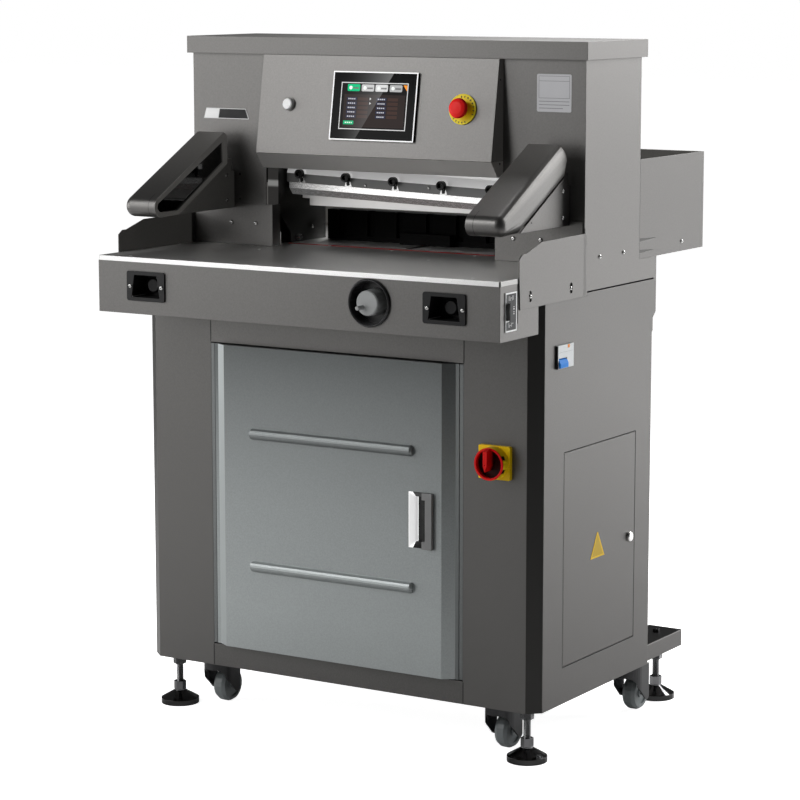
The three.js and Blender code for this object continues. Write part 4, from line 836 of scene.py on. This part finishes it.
# Blackened cap screws that hold the knife, over bright slots in its carrier
PITCH = 112.6076
CARRIER_FACE = -14
bolt_places = [(step * PITCH + 0.2, 1091.1 - KNIFE_SLOPE * step * PITCH) for step in range(-2, 3)]
set_fixings("knife_cap_screws", [
    (9.4, 0), (9.4, 9.2), (8.8, 10), (5.6, 10), (4.8, 9.6, 6), (4.6, 4.5, 6),
], [(x, -19.02, z, USER) for x, z in bolt_places], "knife", socket_black)
slots = Shape()
slot_face = front(0, CARRIER_FACE, 0)
for x, z in bolt_places:
    slots.slab(slot_face, [(x - 9, z - 19), (x + 9, z - 19), (x + 3.4, z - 4), (x - 3.4, z - 4)],
               0.05, 0.5)
slots.place("bright_slots_under_the_cap_screws", "knife", screw_steel, "bright_steel")
shanks = Shape()
for x, z in bolt_places:
    shanks.slab(slot_face, rectangle(x - 3, x + 3, z - 17, z - 5, 2.8), 0.5, 2.4)
shanks.place("blackened_shanks", "knife", socket_black, "machined_iron")
set_fixings("small_carrier_screws", dome_screw(3.2, 2.2, 1.1), [
    (-71.3, CARRIER_FACE, 1079.5, USER), (78.7, CARRIER_FACE, 1081, USER),
], "knife", screw_steel)

# Control screen: glass edge lines and a plain lit picture
TILT = math.atan(31 / 196.7)  # lean of the fascia
LEAN = (0, math.sin(TILT), math.cos(TILT))
GLASS_TOP = 5.3
glass = Plane((0, -91.16, SCREEN_MIDDLE), (1, 0, 0), LEAN)
screen_lines = Shape()
for half_width, half_height, width, level in (
        (GLASS_HALF_WIDTH, GLASS_HALF_HEIGHT, 2.4, 1), (77.8, 46.8, 1.7, 0.7)):
    border(screen_lines, glass, (-half_width, half_width, -half_height, half_height), width,
           GLASS_TOP + 0.02, GLASS_TOP + 0.3, neutral(level))
screen_lines.place("screen_edge_lines", "machine", bright_ink, "white_plastic")

LAYERS = (4.32, 4.6, 4.64, 4.68, 4.72)  # heights between which the picture's films lie
BACKGROUND, PANEL, FIELD, MARK = range(4)
picture = Shape()


def film(layer, outline, colour):
    """Adds one flat piece to the picture, over those of the layers below."""
    picture.slab(glass, outline, LAYERS[layer], LAYERS[layer + 1], colour)


film(BACKGROUND, rectangle(-75.5, 75.5, -44.6, 44.6), (0.006, 0.005, 0.005))
film(PANEL, rectangle(-70, 72, -42, 23), (0.02, 0.014, 0.013))
for left, colour in ((-63.5, (0.0, 0.4, 0.16)), (-30.6, neutral(0.42)), (1.5, neutral(0.5)),
                     (34.7, neutral(0.34))):
    film(FIELD, rectangle(left, left + 29, 29.3, 43, 2.5), colour)
    film(MARK, rectangle(left + 4, left + 11, 32.5, 39.5, 3), (0.7, 0.72, 0.7))
    film(MARK, rectangle(left + 13, left + 26, 34, 37), neutral(0.12))
film(FIELD, [(66, 43), (75, 31), (75, 43)], (0.75, 0.25, 0.03))
for row in range(5):
    middle = 14 - 8.7 * row
    for left, field in ((-63, -37), (6, 32)):
        film(FIELD, rectangle(left, left + 23, middle - 3, middle + 3), (0.02, 0.022, 0.045))
        film(FIELD, rectangle(field, field + 24, middle - 3, middle + 3), (0.04, 0.022, 0.018))
        for mark in range(4):
            start = left + 3 + 4.5 * mark
            film(MARK, rectangle(start, start + 3, middle - 1.2, middle + 1.2), (0.42, 0.42, 0.45))
for low in (12, 3):
    film(FIELD, [(-10, low), (-6, low + 2.5), (-10, low + 5)], neutral(0.5))
film(FIELD, rectangle(-68, -44, -37, -29.5, 1), (0.0, 0.33, 0.14))
for mark in range(4):
    start = -64 + 4.6 * mark
    film(MARK, rectangle(start, start + 3, -34.5, -32), (0.6, 0.65, 0.6))
picture.place("lit_screen_picture", "machine", lit_ink, "screen_black")

# Plain plates on the front of the head, left and right
plates = Shape()
left_face = front(0, -66, 1219)
plates.slab(left_face, [(-432.5, -10.6), (-319.5, -10.6), (-327.3, 10.6), (-426, 10.6)], 0.05, 0.5,
            neutral(0.75))
plates.slab(left_face, [(-430.6, -9.3), (-397, -9.3), (-393.6, 9.3), (-425, 9.3)], 0.5, 0.65,
            neutral(0.9))
plates.slab(left_face, [(-395.4, -9.3), (-321.6, -9.3), (-328.3, 9.3), (-392, 9.3)], 0.5, 0.65,
            neutral(0.012))
right_face = front(389.5, -66, 1278.3)
plates.slab(right_face, rectangle(-37.5, 37.5, -36, 36, 3), 0.05, 0.4, (0.62, 0.62, 0.64))
border(plates, right_face, (-33.5, 33.5, -10, 32.5), 0.7, 0.4, 0.45, (0.16, 0.16, 0.18))
plates.slab(right_face, rectangle(-33, 33, 22.5, 23.2), 0.4, 0.45, (0.16, 0.16, 0.18))
for low, right in ((-16.5, 33), (-23, 33), (-29.5, 19)):
    plates.slab(right_face, rectangle(-33, right, low, low + 1.1), 0.4, 0.45, (0.2, 0.2, 0.22))
plates.place("plain_plates", "machine", print_ink, "white_plastic")

# Plain yellow plate on the inspection door
door_plate = Shape()
hatch_face = right_side(SIDE_FACE, 0, 369.6)
door_plate.slab(hatch_face, [(-29.5, 0), (29.5, 0), (1.6, 50.4), (-1.6, 50.4)], 0.05, 0.45,
                (0.8, 0.52, 0.005))
door_plate.slab(hatch_face, [(-23.4, 3.4), (23.4, 3.4), (0.9, 44.2), (-0.9, 44.2)], 0.45, 0.5,
                (0.55, 0.36, 0.01))
door_plate.place("plain_yellow_plate", "inspection_door", print_ink, "yellow_plastic")

# Side switch: pale border, a black sheet beside the rocker as painted shade of its well, and plain
# marks
switch_marks = Shape()
switch_face = right_side(SWITCH_FACE, -354.5, 892.8)
for field in ((-18.6, 18, 17.4, 33.4), (-18.6, 18, -33.4, -17.4), (-2.6, 18, -17.4, 17.4)):
    switch_marks.slab(switch_face, rectangle(*field), 0.03, 0.08, (0.045, 0.047, 0.05))
# black sheet beside the rocker: painted shade of the well it sits in
switch_marks.slab(switch_face, rectangle(-7.4, -2.6, -17.4, 17.4), 0.05, 0.3, neutral(0.004))
for across, low, wide, high in (
    (-10, 21, 2.2, 9), (-6.4, 21, 1.6, 9), (-3.6, 25, 5, 1.8), (-3.6, 21, 1.6, 3),
    (3, 21, 1.8, 9), (6.5, 22, 1.8, 8), (7, 8, 5, 1.6), (7, 3.6, 5, 2.6), (7, -1, 5, 1.4),
    (7, -5, 5, 2.2), (-10, -28, 2, 8), (-6.6, -25, 5, 1.6), (-6.6, -28, 1.6, 2.4),
    (0, -27, 1.8, 7), (3.6, -22, 4, 1.6),
):
    switch_marks.slab(switch_face, rectangle(across, across + wide, low, low + high), 0.08, 0.2,
                      neutral(0.55))
switch_marks.place("side_switch_marks", "machine", print_ink, "white_plastic")

# Strips of painted shade that close the gaps beside the door, dark joints, a black strip of painted
# shade by the right ear and a painted highlight as the pale edge inside each recess
door_strips = Shape()
door_gap = front(0, -242.2, 0)
for side in (-1, 1):
    ends = sorted((side * 286.2, side * 294.3))
    door_strips.slab(door_gap, rectangle(*ends, 152.5, 769.5), -4, -0.1)
door_strips.place("door_side_strips", "machine", door_side_paint, "door_paint")
joints = Shape()
for middle in (-295.2, 295.2):
    for low, high in ((105.5, 148.5), (773, 838.5)):
        joints.slab(door_gap, rectangle(middle - 0.9, middle + 0.9, low, high), 0.02, 0.14,
                    neutral(0.012))
border(joints, right_side(SIDE_FACE, 0, 0), (-141.6, 161.1, 175.9, 600.1), 1.2, 0.02, 0.14,
       neutral(0.012))
# black strip of painted shade in the gap between the apron's side and the right ear
joints.slab(right_side(COVER_FACE, 0, 0), rectangle(-329.5, -325.9, 868, 941), 0.02, 0.14,
            neutral(0.004))
joints.place("dark_joints", "machine", print_ink, "black_plastic")
# pale lines of painted highlight along the lower left edge inside each recess
edges = Shape()
for middle in (-341.5, 341.5):
    corner, low = middle - 33.4, 873.6
    edges.solid([[(corner, y, low), (corner + 1.6, y, low), (corner + 0.9, y, low + 1.6)]
                 for y in (-394, -352)], neutral(0.4))
edges.place("recess_edge_lines", "machine", print_ink, "grey_plastic")

# Ticks round the disc of the stop button
ticks = Shape()
disc = Plane((202.5, -92.0, 1242.8), (1, 0, 0), LEAN)
for turn in (*range(-20, 100, 17), *range(225, 290, 16)):
    angle = math.radians(turn)
    spoke, side = (math.cos(angle), math.sin(angle)), (-math.sin(angle), math.cos(angle))
    outline = [(spoke[0] * reach + side[0] * off, spoke[1] * reach + side[1] * off)
               for reach, off in ((23.5, -0.8), (27, -0.8), (27, 0.8), (23.5, 0.8))]
    ticks.slab(disc, outline, 2.52, 2.62, neutral(0.03))
ticks.place("stop_disc_ticks", "machine", print_ink, "black_plastic")

# Breaker: orange mark and a line across its face
breaker_marks = Shape()
breaker_face = right_side(BREAKER_FACE, -146, 764.6)
breaker_marks.slab(breaker_face, rectangle(7, 15, 37.5, 44), 0.03, 0.25, (0.95, 0.3, 0.02))
breaker_marks.slab(breaker_face, rectangle(-28, 28, 30.6, 31), 0.02, 0.1, (0.3, 0.31, 0.32))
breaker_marks.place("breaker_marks", "machine", print_ink, "white_plastic")

# Black windows of the curtain arms
WINDOW = ((-109, 1164.5), (-109, 1122.4), (-267.3, 1036.5), (-325.5, 1036.2), (-334.3, 1044.6),
          (-332, 1052.4))
windows = Shape()
for side, face in ((-1, right_side(-366.5, 0, 0)), (1, left_side(366.5, 0, 0))):
    outline = [(along if side < 0 else -along, high) for along, high in WINDOW]
    windows.slab(face, outline, 0.0, 8.0)
windows.place("arm_window_glass", "machine", glass_black, "screen_black")

# Small fittings and screws beside the throat, and black discs as painted shade of screw holes
set_fixings("glass_fittings", [
    (6.5, 0), (6.5, 4), (5.8, 6), (5.8, 10), (4.6, 12), (2, 12.6),
], both_sides([(275, 38.9, 961.5, LEFT)]), "machine", screw_steel)
set_fixings("frame_screws", dome_screw(3.6, 2.4, 1.2), both_sides([(275, 99.4, 979.3, LEFT)]),
            "machine", screw_steel)
set_fixings("dark_holes", [(2.2, 0.02), (2.2, 0.2), (1.6, 0.25), (0.8, 0.25)], both_sides([
    (426, -217.5, 1043.6, RIGHT), (274.7, -72, 1301.5, RIGHT), (274.7, -73, 1139.4, RIGHT),
    (343.4, -66, 1095.8, USER), (343.4, -66, 1045.5, USER),
]), "machine", socket_black, steps=16)


# Camera at the photograph's angle
def aim(thing, place, forward):
    thing.location = place
    thing.rotation_mode = "QUATERNION"
    thing.rotation_quaternion = Vector(forward).to_track_quat("-Z", "Y")
    bpy.context.scene.collection.objects.link(thing)


lens = bpy.data.cameras.new("camera")
lens.sensor_width = 36
lens.lens = 123.908
lens.shift_x = -0.0086
lens.shift_y = -0.0037
lens.clip_start = 0.1
lens.clip_end = 60
camera = bpy.data.objects.new("camera", lens)
aim(camera, (2.91499, -4.72959, 1.51340), (-0.5174, 0.8418, -0.1538))
bpy.context.scene.camera = camera


# Studio light
def softbox(name, place, target, width, height, level):
    """A soft lamp that lights its target to that level, where 1 shows a colour as written."""
    place, target = Vector(place), Vector(target)
    lamp = bpy.data.lights.new(name, "AREA")
    lamp.shape = "RECTANGLE"
    lamp.size, lamp.size_y = width, height
    lamp.energy = level * math.pi ** 2 * (target - place).length_squared
    aim(bpy.data.objects.new(name, lamp), place, target - place)


RIGHT_SIDE, FRONT = (0.45, 0, 0.8), (0, -0.2, 0.9)  # what the lamps are aimed at
softbox("rear right, low", (2.0, 2.4, 0.35), RIGHT_SIDE, 2.0, 0.6, 0.132)
softbox("rear right, middle", (2.0, 2.4, 0.95), RIGHT_SIDE, 2.0, 0.6, 0.115)
softbox("rear right, high", (2.0, 2.4, 1.6), RIGHT_SIDE, 2.0, 0.7, 0.255)
softbox("rear right, top", (1.8, 2.2, 2.6), RIGHT_SIDE, 2.0, 1.0, 0.68)
softbox("front left, low", (-1.6, -2.6, 0.35), FRONT, 1.2, 0.6, 0.034)
softbox("front left, middle", (-1.6, -2.6, 0.95), FRONT, 1.2, 0.6, 0.048)
softbox("front left, high", (-1.6, -2.6, 1.6), FRONT, 1.2, 0.7, 0.12)
softbox("front left, top", (-1.4, -2.3, 2.5), FRONT, 1.2, 0.9, 0.33)
softbox("left", (-2.8, -1.3, 1.1), FRONT, 1.2, 1.4, 0.416)
softbox("top rear", (-0.3, 1.6, 3.0), FRONT, 1.4, 1.4, 0.69)

# Surroundings: white to the camera, and dim to everything else
SEEN, DIM = 1.0, 0.05
world = bpy.data.worlds.new("studio")
bpy.context.scene.world = world
world.use_nodes = True
background = world.node_tree.nodes["Background"]
path = world.node_tree.nodes.new("ShaderNodeLightPath")
strength = world.node_tree.nodes.new("ShaderNodeMath")
strength.operation = "MULTIPLY_ADD"
strength.use_clamp = True
strength.inputs[1].default_value = SEEN - DIM
strength.inputs[2].default_value = DIM
world.node_tree.links.new(path.outputs["Is Camera Ray"], strength.inputs[0])
world.node_tree.links.new(strength.outputs[0], background.inputs["Strength"])
background.inputs["Color"].default_value = (1, 1, 1, 1)

# Plain pale floor, which glows to the camera and passes to white away from the part
floor_finish = Finish("pale floor")
pale = floor_finish.node("BsdfDiffuse", inputs={"Color": neutral(0.8)})
east, north, height = floor_finish.along()
away = (east * east + north * north) ** 0.5
seen = Amount(floor_finish, floor_finish.node("LightPath").outputs["Is Camera Ray"])
glow = floor_finish.node("Emission", inputs={
    "Strength": seen * (floor_finish.between(away, 0.6, 1.5) * 0.06 + 0.94)})
both = floor_finish.node("AddShader", inputs={0: pale.outputs[0], 1: glow.outputs[0]})
floor_finish.node("OutputMaterial", inputs={0: both.outputs[0]})
REACH = 30
floor_mesh = bpy.data.meshes.new("floor")
floor_mesh.from_pydata([(-REACH, -REACH, 0), (REACH, -REACH, 0), (REACH, REACH, 0),
                        (-REACH, REACH, 0)], [], [(0, 1, 2, 3)])
floor_mesh.materials.append(floor_finish.material)
floor = bpy.data.objects.new("floor", floor_mesh)
bpy.context.scene.collection.objects.link(floor)

bpy.context.scene.view_settings.view_transform = "Standard"
